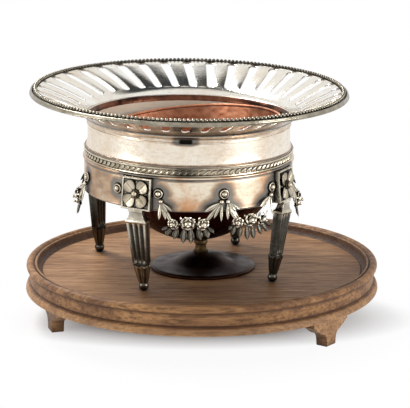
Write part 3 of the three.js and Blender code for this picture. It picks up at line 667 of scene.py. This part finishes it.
def on_line(run):
    """Radius and height at a distance along the flange."""
    return np.array([np.interp(run, flange_run, line) for line in flange_line.T])


def slot_half(run):
    """Half a slot's width in degrees: its ends are round."""
    for end, side in ((slot_from, 1), (slot_to, -1)):
        inside = (run - end) * side
        nose = radians(SLOT_HALF) * on_line(end + side * 4)[0]  # half its width in mm, near there
        if inside <= 1e-9:
            return 0.0
        if inside < nose:
            return SLOT_HALF * sqrt(1 - (1 - inside / nose) ** 2)
    return SLOT_HALF


# %% Flange
ACROSS = (-1, -0.95, -0.8, -0.5, 0, 0.5, 0.8, 0.95, 1)
NOSE, TAIL = 4.2, 5.04  # how far the round ends of a slot reach along it
rounding = [1 - cos(radians(a)) for a in (18, 36, 54, 72, 90)]
flange_rings = [0, 2, 4, 6.5, slot_from - 2, slot_from, *[slot_from + NOSE * r for r in rounding],
                *np.linspace(slot_from + 7, slot_to - 8, 8),
                *[slot_to - TAIL * r for r in reversed(rounding)], slot_to, flange_run[-1]]


def strip_point(run, middle, half, side, u):
    """A point of a strip: u goes across it, and side is 1 on its face and -1 on its back."""
    along = on_line(run + 0.5) - on_line(run - 0.5)
    along /= hypot(*along)
    doming = min(1, half / SLOT_HALF) ** 2
    lift = side * SHEET / 2 + doming * STRIP_DOME * (1 - u * u) * (1 if side > 0 else 0.6)
    if abs(u) == 1:
        lift -= side * doming * 0.35  # the sawn edges are eased
    radius, height = on_line(run) + np.array((-along[1], along[0])) * lift
    return around(radius, middle + u * (SLOT_PITCH / 2 - half), height)


def quad(corner, across, along):
    """A face of a grid, from the number of its first corner and the steps to the next two."""
    return corner, corner + across, corner + across + along, corner + along


def flange():
    columns, row = len(ACROSS), 2 * len(ACROSS)
    points, faces, tints = [], [], []
    for k in range(SLOTS):
        first = len(points)
        for run in flange_rings:
            swirl = SLOT_SWIRL * min(max((run - slot_from) / (slot_to - slot_from), 0), 1)
            middle = (k + 0.5) * SLOT_PITCH + SLOT_PHASE + swirl
            half = slot_half(run)
            points += [strip_point(run, middle, half, side, u) for side in (1, -1) for u in ACROSS]
            # Dark dashes at the heads of the slots are a painted shadow of the rim; the back of the sheet
            # is greyed, most at the lip.
            tints += [0.97 if run >= slot_to and abs(u) > 0.6 else 0.0 for u in ACROSS]
            tints += [0.44 + 0.3 * near(run, 0, 2.5, 1)] * columns
        for i, (run, next_run) in enumerate(zip(flange_rings, flange_rings[1:])):
            top = first + i * row
            for corner in range(top, top + columns - 1):
                faces += [quad(corner, 1, row), quad(corner + columns, row, 1)]
            if slot_half(run) > 0 or slot_half(next_run) > 0:
                faces += [quad(corner, columns, row) for corner in (top, top + columns - 1)]
        for top in (first, len(points) - row):
            faces += [quad(corner, 1, columns) for corner in range(top, top + columns - 1)]
    return Shape(points, faces, tints)


piece("pierced_flange", flange(), SILVER_FLANGE, "frame", "flange", 40)

# %% [markdown]
# Round the flange's edge runs a cast rim: a row of beads, a groove and a wire outside. The rim's
# body is turned from a section, and the beads are one small ball set round it.

# %% Bead border
BEADS = 232
BEAD_RADIUS = 1.98
BEAD_CIRCLE, BEAD_LEVEL = 154.5, 184.55
under_beads = [(152.9, 181.4), (152.7, 182.6), (153, 183.7), (153.8, 183.9), (155.6, 183.7), (156.5, 182.6)]
wire_line = arc((158.1, 182.4), 1.2, 155, -20, 8)
edge_line = [(159.2, 181.2), (159.4, 180.8), (160, 180.3), (159.9, 179.5), (159.3, 179.3), (158, 179.4),
             (156, 180)]
rim_body = turned(under_beads + wire_line + edge_line, 256,
                  [1.0] * len(under_beads) + [0.8] + [0.0] * 7 + [0.7, 0.8, 0.6, 0, 0, 0.2, 0.5, 0.9])


def ball(radius, segments=12, rings=7):
    """A ball with its poles on Z."""
    turns = [pi * i / rings for i in range(1, rings)]
    section = [(radius * sin(turn), -radius * cos(turn)) for turn in turns]
    return turned([(0, -radius), *section, (0, radius)], segments)


border = rim_body + ringed(ball(BEAD_RADIUS).moved(x=BEAD_CIRCLE, z=BEAD_LEVEL), BEADS)
x, y, z = border.points.T
border.tint = 0.8 * (0.5 + 0.5 * y / np.hypot(x, y)).clip(0) ** 1.5  # a painted dark reflection on the back
piece("beaded_rim", border, CAST_RIM, "frame", "bead_border", 50)

# %% [markdown]
# Leaves, petals and buds are one idea: a blade that widens from its stalk and closes at its tip,
# thicker along its middle, with a sunk vein. Length, width, bend and cup make it a willow leaf, a
# rose petal or a leaf of the moulding.

# %% A leaf
FACE_SIDE = (-1, -0.75, -0.45, -0.16, 0, 0.16, 0.45, 0.75, 1)
BACK_SIDE = (0.6, 0.0, -0.6)


def blade(length, width, thickness, bend=0.0, cup=0.0, vein=0.25, widest=0.42, blunt=0.8,
          stations=9, dull=0.0, curl=2):
    """A leaf that grows up Z from the origin, with its face to +X. Its edges keep their tarnish."""
    face = [(u, thickness / 2 * (1 - u * u) + cup * u * u - (0 if u else vein)) for u in FACE_SIDE]
    back = [(u, cup * u * u - thickness / 2 * (1 - u * u)) for u in BACK_SIDE]
    power = np.log(0.5) / np.log(widest)
    rings, tints = [], []
    for i in range(stations + 1):
        t = i / stations
        full = sin(pi * t ** power) ** blunt if 0 < i < stations else 0.0
        rings.append([(bend * t ** curl + x * full, u * width / 2 * full, length * t)
                      for u, x in face + back])
        for u in FACE_SIDE:
            edge = 0.85 if abs(u) > 0.9 or i in (0, stations) else 0.0
            tints.append(max(edge, dull if abs(u) > 0.2 else 0.0))
        tints += [0.9] * len(BACK_SIDE)
    return lofted(rings, tints)


def laid(shape, start, end, length, out):
    """A shape of the given length along Z, stretched from start to end with its face to out."""
    up = (end - start).normalized()
    side = up.cross(out).normalized()
    scale = (end - start).length / length
    basis = Matrix((side.cross(up), side, up * scale)).transposed().to_4x4()
    return shape.placed(Matrix.Translation(start) @ basis)


# %% [markdown]
# The moulding between neck and band is a ring of small leaves that all lean one way between two
# fillets. The ring is cut deep behind them, which reads as a dark line.

# %% Leaf moulding
MOULDING_LEAVES = 104
moulding_ring = turned(
    [(101.4, 118.4), (105.4, 118.4), (105.2, 119.2), (103.8, 119.8), (103.6, 121), (103.7, 123.6),
     (104, 124.8), (105.3, 125), (105.6, 125.8), (105.2, 126.6), (101.4, 126.6)], 256)
moulding_leaf = (blade(8, 3.6, 1.8, bend=0.4, vein=0.3, widest=0.5, blunt=0.8)
                 .rotated(-54, "X").moved(x=104.3, y=-3.2, z=119.7))
moulding = moulding_ring + ringed(moulding_leaf, MOULDING_LEAVES)
x, y, z = moulding.points.T
# In the middle of the front the moulding carries the same painted dark reflection.
moulding.tint = np.maximum(moulding.tint * 0.6, 0.8 * dark_reflection(x, y))
piece("moulding_of_leaves", moulding, CAST_MOULDING, "frame", "leaf_moulding", 40)

# %% [markdown]
# A leg is one casting: a square plaque with a raised border, a waisted neck, a stepped block, a
# tapered fluted shaft, a foot wrapped in pointed leaves and a ball for a toe. It is built upright
# facing +X, each member as its own loft, and then laid from its toe to its plaque.

# %% Members of a leg
LEGS = {  # angle of the plaque, angle and radius of the toe, tarnish of the shaft
    "front_left": (-117.4, -115.9, 96.4, 0.0),
    "front_right": (-27.5, -33.1, 101.9, 0.9),
    "back_right": (62, 59.6, 99.3, 0.92),
    "back_left": (152, 147.1, 109.1, 0.88),
}
PLAQUE_HALF = 15.9
PLAQUE_FACE = 110
PLAQUE_MIDDLE = 99.2
PLAQUE_TILT = 5
LEG_TOP, TOP_RADIUS = 83.1, 107.6
TOE_RADIUS, TOE_HEIGHT = 5, 4.4


def block_ring(half_width, half_depth, z, corner=0.6):
    """A rectangle with round corners at one height, its width along Y."""
    ring = []
    for sx, sy, start in ((1, 1, 0), (-1, 1, 90), (-1, -1, 180), (1, -1, 270)):
        for dx, dy in arc((0, 0), corner, start, start + 90, 3):
            ring.append((sx * (half_depth - corner) + dx, sy * (half_width - corner) + dy, z))
    return ring


def blocks(stations, corner=0.6):
    return lofted([block_ring(w, d, z, corner) for w, d, z in stations])


FLUTES = 3
FLUTE_DEPTH = 1.5
SHAFT_WIDTH, SHAFT_DEPTH, SHAFT_SWELL = 16, 7.4, 0.3  # at its foot, and how much it widens
STATIONS = (0, 0.02, 0.05, 0.09, 0.14, 0.3, 0.5, 0.7, 0.84, 0.9, 0.94, 0.97, 1)


def fluted_ring(z, half_width, half_depth, depth, dull):
    """The outline of the shaft at one height: flutes on both broad faces, dark inside."""
    ring, tints = [], []
    step = 2 * half_width / (FLUTES * 2 + 1)
    for side in (1, -1):
        ring.append((side * half_depth, -side * half_width, z))
        tints.append(dull)
        for i in range(FLUTES):
            for share in (0, 0.12, 0.35, 0.65, 0.88, 1):
                y = -half_width + step * (2 * i + 0.7 + 1.6 * share)
                sunk = (4 * share * (1 - share)) ** 0.6
                ring.append((side * (half_depth - depth * sunk), side * y, z))
                tints.append(max(dull, 0.95 * min(1, sunk * depth)))
        ring += [(side * half_depth, side * half_width, z), (0, side * (half_width + 0.1), z)]
        tints += [dull, 0.96]
    return ring, tints


def shaft(foot, head):
    rings, tints = [], []
    for t in STATIONS:
        half = (1 + SHAFT_SWELL * t) / 2
        depth = FLUTE_DEPTH * sqrt(max(0, min(1, (t - 0.02) / 0.1, (0.98 - t) / 0.1)))
        ring, dark = fluted_ring(foot + (head - foot) * t, SHAFT_WIDTH * half, SHAFT_DEPTH * half, depth,
                                 0.76 - 0.6 * t)
        rings.append(ring)
        tints += dark
    return lofted(rings, tints)


# %% Foot and toe of a leg
FOOT_SHAPE, CORE_SHAPE = (0.85, 1.1), (0.85, 1.08)  # both are flatter than they are wide
TIPS_FROM = 18.8  # above it the curled tips of the leaves are rubbed bright


def leaf_foot():
    core = [(0, 6), (3.2, 7), (4.5, 11), (6, 17), (6.6, 23), (6.8, 27), (6.4, 28.4), (0, 28.6)]
    leaf = blade(21.5, 8.4, 3.2, bend=2.6, cup=-1, vein=0.8, widest=0.62, blunt=0.5, dull=0.85,
                 curl=6, stations=12)
    leaf.tint = np.where(leaf.points[:, 2] > TIPS_FROM, 0.1, leaf.tint)
    leaves = ringed(leaf.rotated(6, "Y").moved(x=3.9, z=6.2).rotated(22.5), 8)
    toe = [(0, TOE_HEIGHT - TOE_RADIUS)] + arc((0, TOE_HEIGHT), TOE_RADIUS, -78, 62, 12)
    toe += [(2.4, 9), (3.3, 9.4), (3.4, 10.2), (2.6, 10.8), (0, 11)]
    return together([turned(core, 32, [0.95] * len(core)).scaled(*CORE_SHAPE), leaves.scaled(*FOOT_SHAPE),
                     turned(toe, 32, [0.86] * len(toe))])


def upright_leg():
    head = blocks([(10.2, 4.6, 69.8), (11.4, 5.3, 70.6), (11.6, 5.4, 72.2), (10.8, 4.8, 73.2),
                   (9.8, 4.2, 74)])
    waist = blocks([(9.9, 4.2, 73.6), (8.9, 4, 74.8), (8, 3.7, 76.6), (7.4, 3.5, 78.6), (7.1, 3.4, 80.6),
                    (7, 3.4, 82), (7.4, 3.5, 82.4), (7.4, 3.5, 84.4)])
    waist.tint += 0.35
    return together([leaf_foot(), shaft(28, 70.4), head, waist])


# %% [markdown]
# The plaque sits in the band, and its face looks up a little. Its border and recess are one more
# loft, through square rings from the back to the front and in again.

# %% Plaque and flower
BEND_OUT = 105  # the plaque is upright up to here, and looks up in front of it


def square_ring(inset, x):
    half = PLAQUE_HALF - inset
    leaned = 0 if x < BEND_OUT else tan(radians(PLAQUE_TILT))
    return [(x - (half * cz) * leaned, half * cy, PLAQUE_MIDDLE + half * cz)
            for cy, cz in ((-1, -1), (-0.4, -1), (0.4, -1), (1, -1), (1, -0.4), (1, 0.4),
                           (1, 1), (0.4, 1), (-0.4, 1), (-1, 1), (-1, 0.4), (-1, -0.4))]


plaque = lofted([square_ring(inset, x) for inset, x in
                 ((0, 104.3), (0, 109.4), (0.5, PLAQUE_FACE), (1.7, PLAQUE_FACE),
                  (2.3, PLAQUE_FACE - 0.6), (2.5, PLAQUE_FACE - 1.1))], [0.9, 0.3, 0, 0, 0.6, 0.8])
plaque_lip = blocks([(7.4, 2, -2.6), (7.9, 2.3, -1.8), (7.9, 2.3, 1.2)]).moved(
    x=PLAQUE_FACE - 1, z=PLAQUE_MIDDLE - PLAQUE_HALF)


def looking_up(shape):
    """Tips a shape about the middle of the plaque's face."""
    return (shape.moved(x=-PLAQUE_FACE, z=-PLAQUE_MIDDLE).rotated(-PLAQUE_TILT, "Y")
            .moved(x=PLAQUE_FACE, z=PLAQUE_MIDDLE))


def flower():
    petal = blade(12.6, 13.8, 2, bend=0.9, cup=2, vein=0.7, widest=0.6, blunt=0.42, stations=12, dull=0.32)
    leaf = blade(10, 3.6, 1.6, bend=0.4, vein=0.3, widest=0.55, blunt=0.9)
    boss_line = ([(0, 0), (4.2, 0), (4.5, 2.2), (4.1, 3.2), (3.1, 3)]
                 + arc((0, 3.9), 2.8, -18, 84, 8) + [(0, 6.7)])
    boss = turned(boss_line, 28, [1, 1, 0.9, 0.8, 1, 1] + [0.0] * 9).rotated(90, "Y")
    return together([ringed(petal.moved(x=0.9, z=2.8).rotated(45, "X"), 4, "X"),
                     ringed(leaf.moved(x=0.2, z=2.6), 4, "X"), boss])


FLOWER_FOOT = PLAQUE_FACE - 0.9
flower_shape = looking_up(flower().moved(x=FLOWER_FOOT, z=PLAQUE_MIDDLE))

# %% Legs in their places
PLAQUE_SEAT = 105.4  # radius at which its edge meets the band
TARNISH_FROM, TARNISH_FULL = 71, 66  # heights between which a shaft's own tarnish sets in
upright = upright_leg().moved(z=-TOE_HEIGHT)
applied = []  # everything that is fixed on the band, for its tarnish later
steps = np.linspace(-PLAQUE_HALF, PLAQUE_HALF, 17)
plaque_edge = Shape([(PLAQUE_SEAT, y, PLAQUE_MIDDLE + z) for y in steps for z in steps
                     if PLAQUE_HALF in (abs(y), abs(z))], [])
for corner, (angle, toe_angle, toe_radius, dullness) in LEGS.items():
    toe = around(toe_radius, toe_angle, TOE_HEIGHT)
    toe.z += toe.x * LEAN_SLOPE
    leg = laid(upright, toe, around(TOP_RADIUS, angle, LEG_TOP), LEG_TOP - TOE_HEIGHT, around(1, angle, 0))
    x, y, z = leg.points.T
    leg.tint = np.maximum(leg.tint, dullness * (1 - np.clip((z - TARNISH_FULL)
                                                            / (TARNISH_FROM - TARNISH_FULL), 0, 1)))
    leg.points[:, 2] = np.maximum(z, x * LEAN_SLOPE)  # the toe stands on a small flat
    leg += (plaque + plaque_lip).rotated(angle)
    piece(f"cast_leg_{corner}", leg, CAST_LEG, "frame", f"leg_{corner}", 38)
    piece(f"flower_{corner}", flower_shape.rotated(angle), CAST_FLOWER, "frame", f"rosette_{corner}", 45)
    applied.append(plaque_edge.rotated(angle))

# %% [markdown]
# Inside the band a brass nut holds each leg's bolt. It is lofted from a small hexagon to a large one
# and back, which turns its corners off.

# %% Nuts
def hexagon(radius, x):
    return [(x, radius * cos(radians(60 * n)), radius * sin(radians(60 * n))) for n in range(6)]


NUT_FACE, NUT_BACK = 103.3, 99.9
nut = lofted([hexagon(3.5, NUT_BACK), hexagon(4.2, NUT_BACK + 0.4), hexagon(4.2, NUT_FACE - 0.4),
              hexagon(3.5, NUT_FACE)])
bolt_end = turned([(0, 0), (1.7, 0), (1.7, 2.4), (1.1, 3), (0, 3.1)], 16).rotated(-90, "Y")
nut_on_bolt = (nut + bolt_end.moved(x=NUT_BACK + 1)).moved(z=PLAQUE_MIDDLE)
for corner, (angle, *_) in LEGS.items():
    piece(f"nut_{corner}", nut_on_bolt.rotated(angle), BRASS, "frame", f"leg_nut_{corner}")

# %% [markdown]
# The garlands hang from studs: a small cup with a bright boss in it, turned, and laid on its side
# so that it faces out of the band.

# %% Studs
STUDS = {
    "front": (-105.8, -70.5, -39),
    "right": (-15.5, 19, 50.4),
    "back": (74, 109, 140.4),
    "left": (164, 199, 229.6),
}
STUD_HEIGHT = 100.4
STUD_FOOT = 105.2
stud = turned([(0, 0), (4.7, 0)] + arc((4.0, 1.1), 0.75, -20, 150, 6) + [(3.2, 0.9), (3, 0.7)]
              + arc((0, 1.3), 2.95, -10, 82, 8) + [(0, 4.25)], 28).rotated(90, "Y")
for bay, angles in STUDS.items():
    for number, angle in enumerate(angles, 1):
        shape = stud.moved(x=STUD_FOOT, z=STUD_HEIGHT).rotated(angle)
        applied.append(shape)
        piece(f"cup_stud_{bay}_{number}", shape, CAST_ORNAMENT, "frame", f"stud_{bay}_{number}", 45)

# %% [markdown]
# A rose is cupped petals in rings round a bud. A garland is cast in one: a knot and a spray of
# willow leaves under each stud, three roses, leaves that hang below them and small buds above.

# %% Rose
def rose(radius):
    """A rose that faces +X."""
    petal = blade(radius * 1.05, radius * 1.25, 0.7, bend=-0.22 * radius, cup=-0.28 * radius,
                  vein=0.1, widest=0.6, blunt=0.4)
    parts = [ball(radius * 0.62, 14, 8).moved(x=0.1 * radius),
             ball(radius * 0.26, 10, 6).moved(x=radius * 0.78)]
    for count, reach, lean, start in ((5, 1.0, 16, 0), (5, 0.8, 38, 36), (3, 0.56, 62, 10)):
        opened = petal.rotated(lean, "Y").scaled(reach, reach, reach).moved(z=0.12 * radius)
        parts.append(ringed(opened.rotated(start, "X"), count, "X"))
    bloom = together(parts)
    bloom.tint *= 0.2
    return bloom


# %% Garland
GARLAND_OUT, KNOT_OUT = 111, 107.6
ROSE_HEIGHT = 72
ROSE_SPACING = 7.6
ROSE_SHIFT = -1.5
ROSES = {-1: 5.0, 0: 6.4, 1: 5.6}  # the sizes of the three
KNOT_HEIGHT = STUD_HEIGHT - 7.2
KNOT_SHIFT = 1.6
# degrees from the middle or from the knot, height of the tip, width
HANGING = ((-13, 66, 4.6), (-11, 60.5, 5.8), (-7, 57.5, 6.2), (-2.4, 54, 6.8), (1.6, 53.8, 6.8),
           (6.4, 57, 6.2), (10.4, 58.6, 6), (13, 64, 4.6))
BUDS = ((-3.8, 80.2), (3.3, 78.8), (5.8, 80.3))
SPRAY_LEFT = ((-0.3, 75.5, 3.4), (3.3, 76, 3.2), (4.1, 83.5, 3), (6.6, 84.4, 3.2), (6, 75.6, 3.4))
SPRAY_RIGHT = ((-0.6, 74, 3), (-4.6, 77.5, 3.2), (-8.2, 76, 3.6), (-9.6, 84.5, 4.8))
LOST_GARLAND = "left_2"


def leaf_to(start, end, width, thickness=1.7, bend=0.8, dull=0.0):
    length = (end - start).length
    leaf = blade(length, width, thickness, bend=bend, vein=0.5, widest=0.6, blunt=0.85, dull=dull)
    return laid(leaf, start, end, length, Vector((start.x + end.x, start.y + end.y, 0)))


def garland(start, end):
    middle = (start + end) / 2 + ROSE_SHIFT
    parts = []
    for stud_angle, toward, spray in ((start, 1, SPRAY_LEFT), (end, -1, SPRAY_RIGHT)):
        knot_angle = stud_angle + toward * KNOT_SHIFT
        knot = around(KNOT_OUT, knot_angle, KNOT_HEIGHT)
        parts.append(ball(2.3, 12, 8).moved(x=KNOT_OUT - 0.2, z=KNOT_HEIGHT).rotated(knot_angle))
        parts += [leaf_to(knot, around(GARLAND_OUT - 1, knot_angle + turn, height), width)
                  for turn, height, width in spray]
        parts.append(leaf_to(knot, around(GARLAND_OUT, middle - toward * ROSE_SPACING, ROSE_HEIGHT), 4.2))
    for side, size in ROSES.items():
        bloom = rose(size).rotated(side * 18).rotated(14, "Y")
        bloom = bloom.moved(x=GARLAND_OUT, z=ROSE_HEIGHT if side else ROSE_HEIGHT + 1)
        parts.append(bloom.rotated(middle + side * ROSE_SPACING))
    stem_ends = [around(GARLAND_OUT - 1.5, middle + side * ROSE_SPACING, ROSE_HEIGHT - 0.5)
                 for side in (-1, 1)]
    parts.append(leaf_to(*stem_ends, 5, 3, 0))
    for turn, height, width in HANGING:
        root = around(GARLAND_OUT - 1, middle + turn * 0.75, ROSE_HEIGHT - 2)
        leaf = leaf_to(root, around(GARLAND_OUT, middle + turn, height), width, 2, 1.4, 0.95)
        leaf.tint = np.maximum(leaf.tint, 0.62)
        parts.append(leaf)
    for turn, height in BUDS:
        root = around(GARLAND_OUT - 1, middle + turn * 0.9, ROSE_HEIGHT + 2)
        parts.append(leaf_to(root, around(GARLAND_OUT + 0.5, middle + turn, height), 2.6, 2.4, 0.3))
    return together(parts)


for bay, angles in STUDS.items():
    for number in (1, 2):
        half_bay = f"{bay}_{number}"
        if half_bay != LOST_GARLAND:
            shape = garland(*angles[number - 1:number + 1])
            applied.append(shape)
            piece(f"willow_garland_{half_bay}", shape, CAST_ORNAMENT, "frame", f"garland_{half_bay}", 50)

# %% [markdown]
# The band comes last of the frame, because its tarnish follows what is fixed on it. A search tree
# holds every point of the ornaments and tells each point of the band how far the nearest one is:
# touching is black, a few millimetres away is grey, and beyond that the metal is clean.

# %% Band
BAND_OUT, BAND_IN = 105, 103.7
BAND_BOTTOM, BAND_TOP = 83.4, 118
GROOVE = 113.8
HALO_REACH = 14  # how far round an ornament the metal is discoloured
band = turned(
    [(BAND_IN, BAND_BOTTOM), (105.5, BAND_BOTTOM), (105.6, BAND_BOTTOM + 0.8), (105.1, BAND_BOTTOM + 1.3)]
    + [(BAND_OUT, z) for z in np.linspace(85.4, 111.4, 24)]
    + [(104.9, 112.6), (104.5, GROOVE), (104.5, GROOVE + 0.8), (105.2, 115.1)]
    + arc((105.3, 116.3), 1.15, -75, 80, 6)
    + [(BAND_OUT, BAND_TOP), (BAND_IN, BAND_TOP)] + [(BAND_IN, z) for z in (110, 100, 90)], 512)

ornaments = together(applied).points
tree = KDTree(len(ornaments))
for number, point in enumerate(ornaments):
    tree.insert(point, number)
tree.balance()
distance = np.array([tree.find(point)[2] for point in band.points])
x, y, z = band.points.T
halo = 0.95 * (1 - distance / HALO_REACH).clip(0) + 0.25 * near(distance, 0, 1.2)
edge = 0.75 * near(z, BAND_BOTTOM, 0.9, 1)
# The groove is darker still in the middle of the front, where the painted dark reflection lies.
groove = (0.75 + 0.25 * dark_reflection(x, y)) * near(z, GROOVE, 1.3, 4)
left = 0.42 * near(turn_of(x, y), -150, 28, 4)
dark = np.max((halo, edge, groove, left), axis=0).clip(0, 1)
band.tint = np.where(np.hypot(x, y) > (BAND_IN + BAND_OUT) / 2, dark, 0)
print(f"tarnish of the band: mean {band.tint.mean():.2f}")
piece("band_of_frame", band, SILVER_BAND, "frame", "band")

# %% [markdown]
# The pan was raised from copper sheet: a round bowl that flares to a wired mouth, on a turned stem
# and a spun foot. The bowl's section runs up the outside and down the inside, a sheet's thickness
# further in, and bowl and wire are tipped about the middle of the round. The photograph shows a
# rounder underside than the bowl's solid has, and this section follows it.

# %% Pan
PAN_SHEET = 1.5
BOWL_ROUND = 87  # radius of its round bottom
BOWL_UNDER = 30.3
BOWL_HEART = BOWL_UNDER + BOWL_ROUND
BOWL_MOUTH, BOWL_TOP = 89.8, 146.5
BOWL_TILT = 4  # it has settled on its stem, with the left side low
WIRE = 1.45
PAN_SIDES = 192
outside = arc((0, BOWL_HEART), BOWL_ROUND, -90, -14, 40)
outside += bezier(outside.pop(), (86.2, 108), (83, 118), (BOWL_MOUTH, BOWL_TOP), 14)
line = np.array(outside + [(BOWL_MOUTH, BOWL_TOP)])
line[0, 0] = 0
slope = np.gradient(line, axis=0)
slope /= np.hypot(*slope.T)[:, None]
inside = (line + PAN_SHEET * np.column_stack((-slope[:, 1], slope[:, 0])))[::-1]
inside[-1] = (0, BOWL_UNDER + PAN_SHEET)
bowl = turned([*line, *inside], PAN_SIDES, [0.0] * len(line) + [1.0] * len(inside))
x, y, z = bowl.points.T
to_right = x / np.maximum(np.hypot(x, y), 1)
bowl.tint *= (0.56 + 0.44 * np.clip(to_right * 2 - 0.1, 0, 1)  # painted light on its right side, darker to the left as painted shade
              + 0.06 * np.clip(to_right * -2, 0, 1))
IN_BOWL = (standing_at(BOWL_AXIS) @ Matrix.Translation((0, 0, BOWL_HEART))
           @ Matrix.Rotation(radians(-BOWL_TILT), 4, "Y") @ Matrix.Translation((0, 0, -BOWL_HEART)))
piece("bowl_of_pan", bowl, COPPER, "pan", "pan_bowl", place=IN_BOWL)

wire = turned(arc((BOWL_MOUTH - 0.6, BOWL_TOP + 1.8), WIRE, 0, 345, 15), PAN_SIDES, [0.8] * 16)
piece("wire_of_pan", wire, COPPER, "pan", "pan_rim", place=IN_BOWL)

stem = turned([(0, 16.3), (7.6, 16.3), (7.8, 17.2), (6.8, 18), (6.2, 19.2), (5.6, 20), (5.4, 22.4),
               (5.8, 24), (6.9, 24.8), (7.1, 26.4), (6.6, 27.8), (7.4, 29.6), (6.8, 30.1), (0, 30.1)], 48)
piece("stem_of_pan", stem, BRASS, "pan", "pan_stem", place=standing_at(STEM_AXIS))

FOOT_RADIUS = 52.8
foot_top = ([(FOOT_RADIUS, 0), (FOOT_RADIUS + 0.1, 1.4), (FOOT_RADIUS - 0.5, 2.4), (FOOT_RADIUS - 2, 3.2)]
            + bezier((FOOT_RADIUS - 3, 3.3), (45, 3.4), (38, 4.4), (33, 5.4), 8)
            + bezier((33, 5.4), (25, 6.8), (21, 13.8), (9.4, 15.4), 16) + [(9, 15.9), (0, 15.9)])
foot_under = ([(0, 14.4), (9, 13)]
              + bezier((FOOT_RADIUS - 4.5, 1.6), (27, 3.4), (20, 7), (12, 10.6), 14)[::-1])
pan_foot = turned(foot_top + foot_under + [(FOOT_RADIUS - 1.4, 0)], PAN_SIDES)
piece("foot_of_pan", pan_foot, DARK_COPPER, "pan", "pan_foot", place=standing_at(FOOT_AXIS))
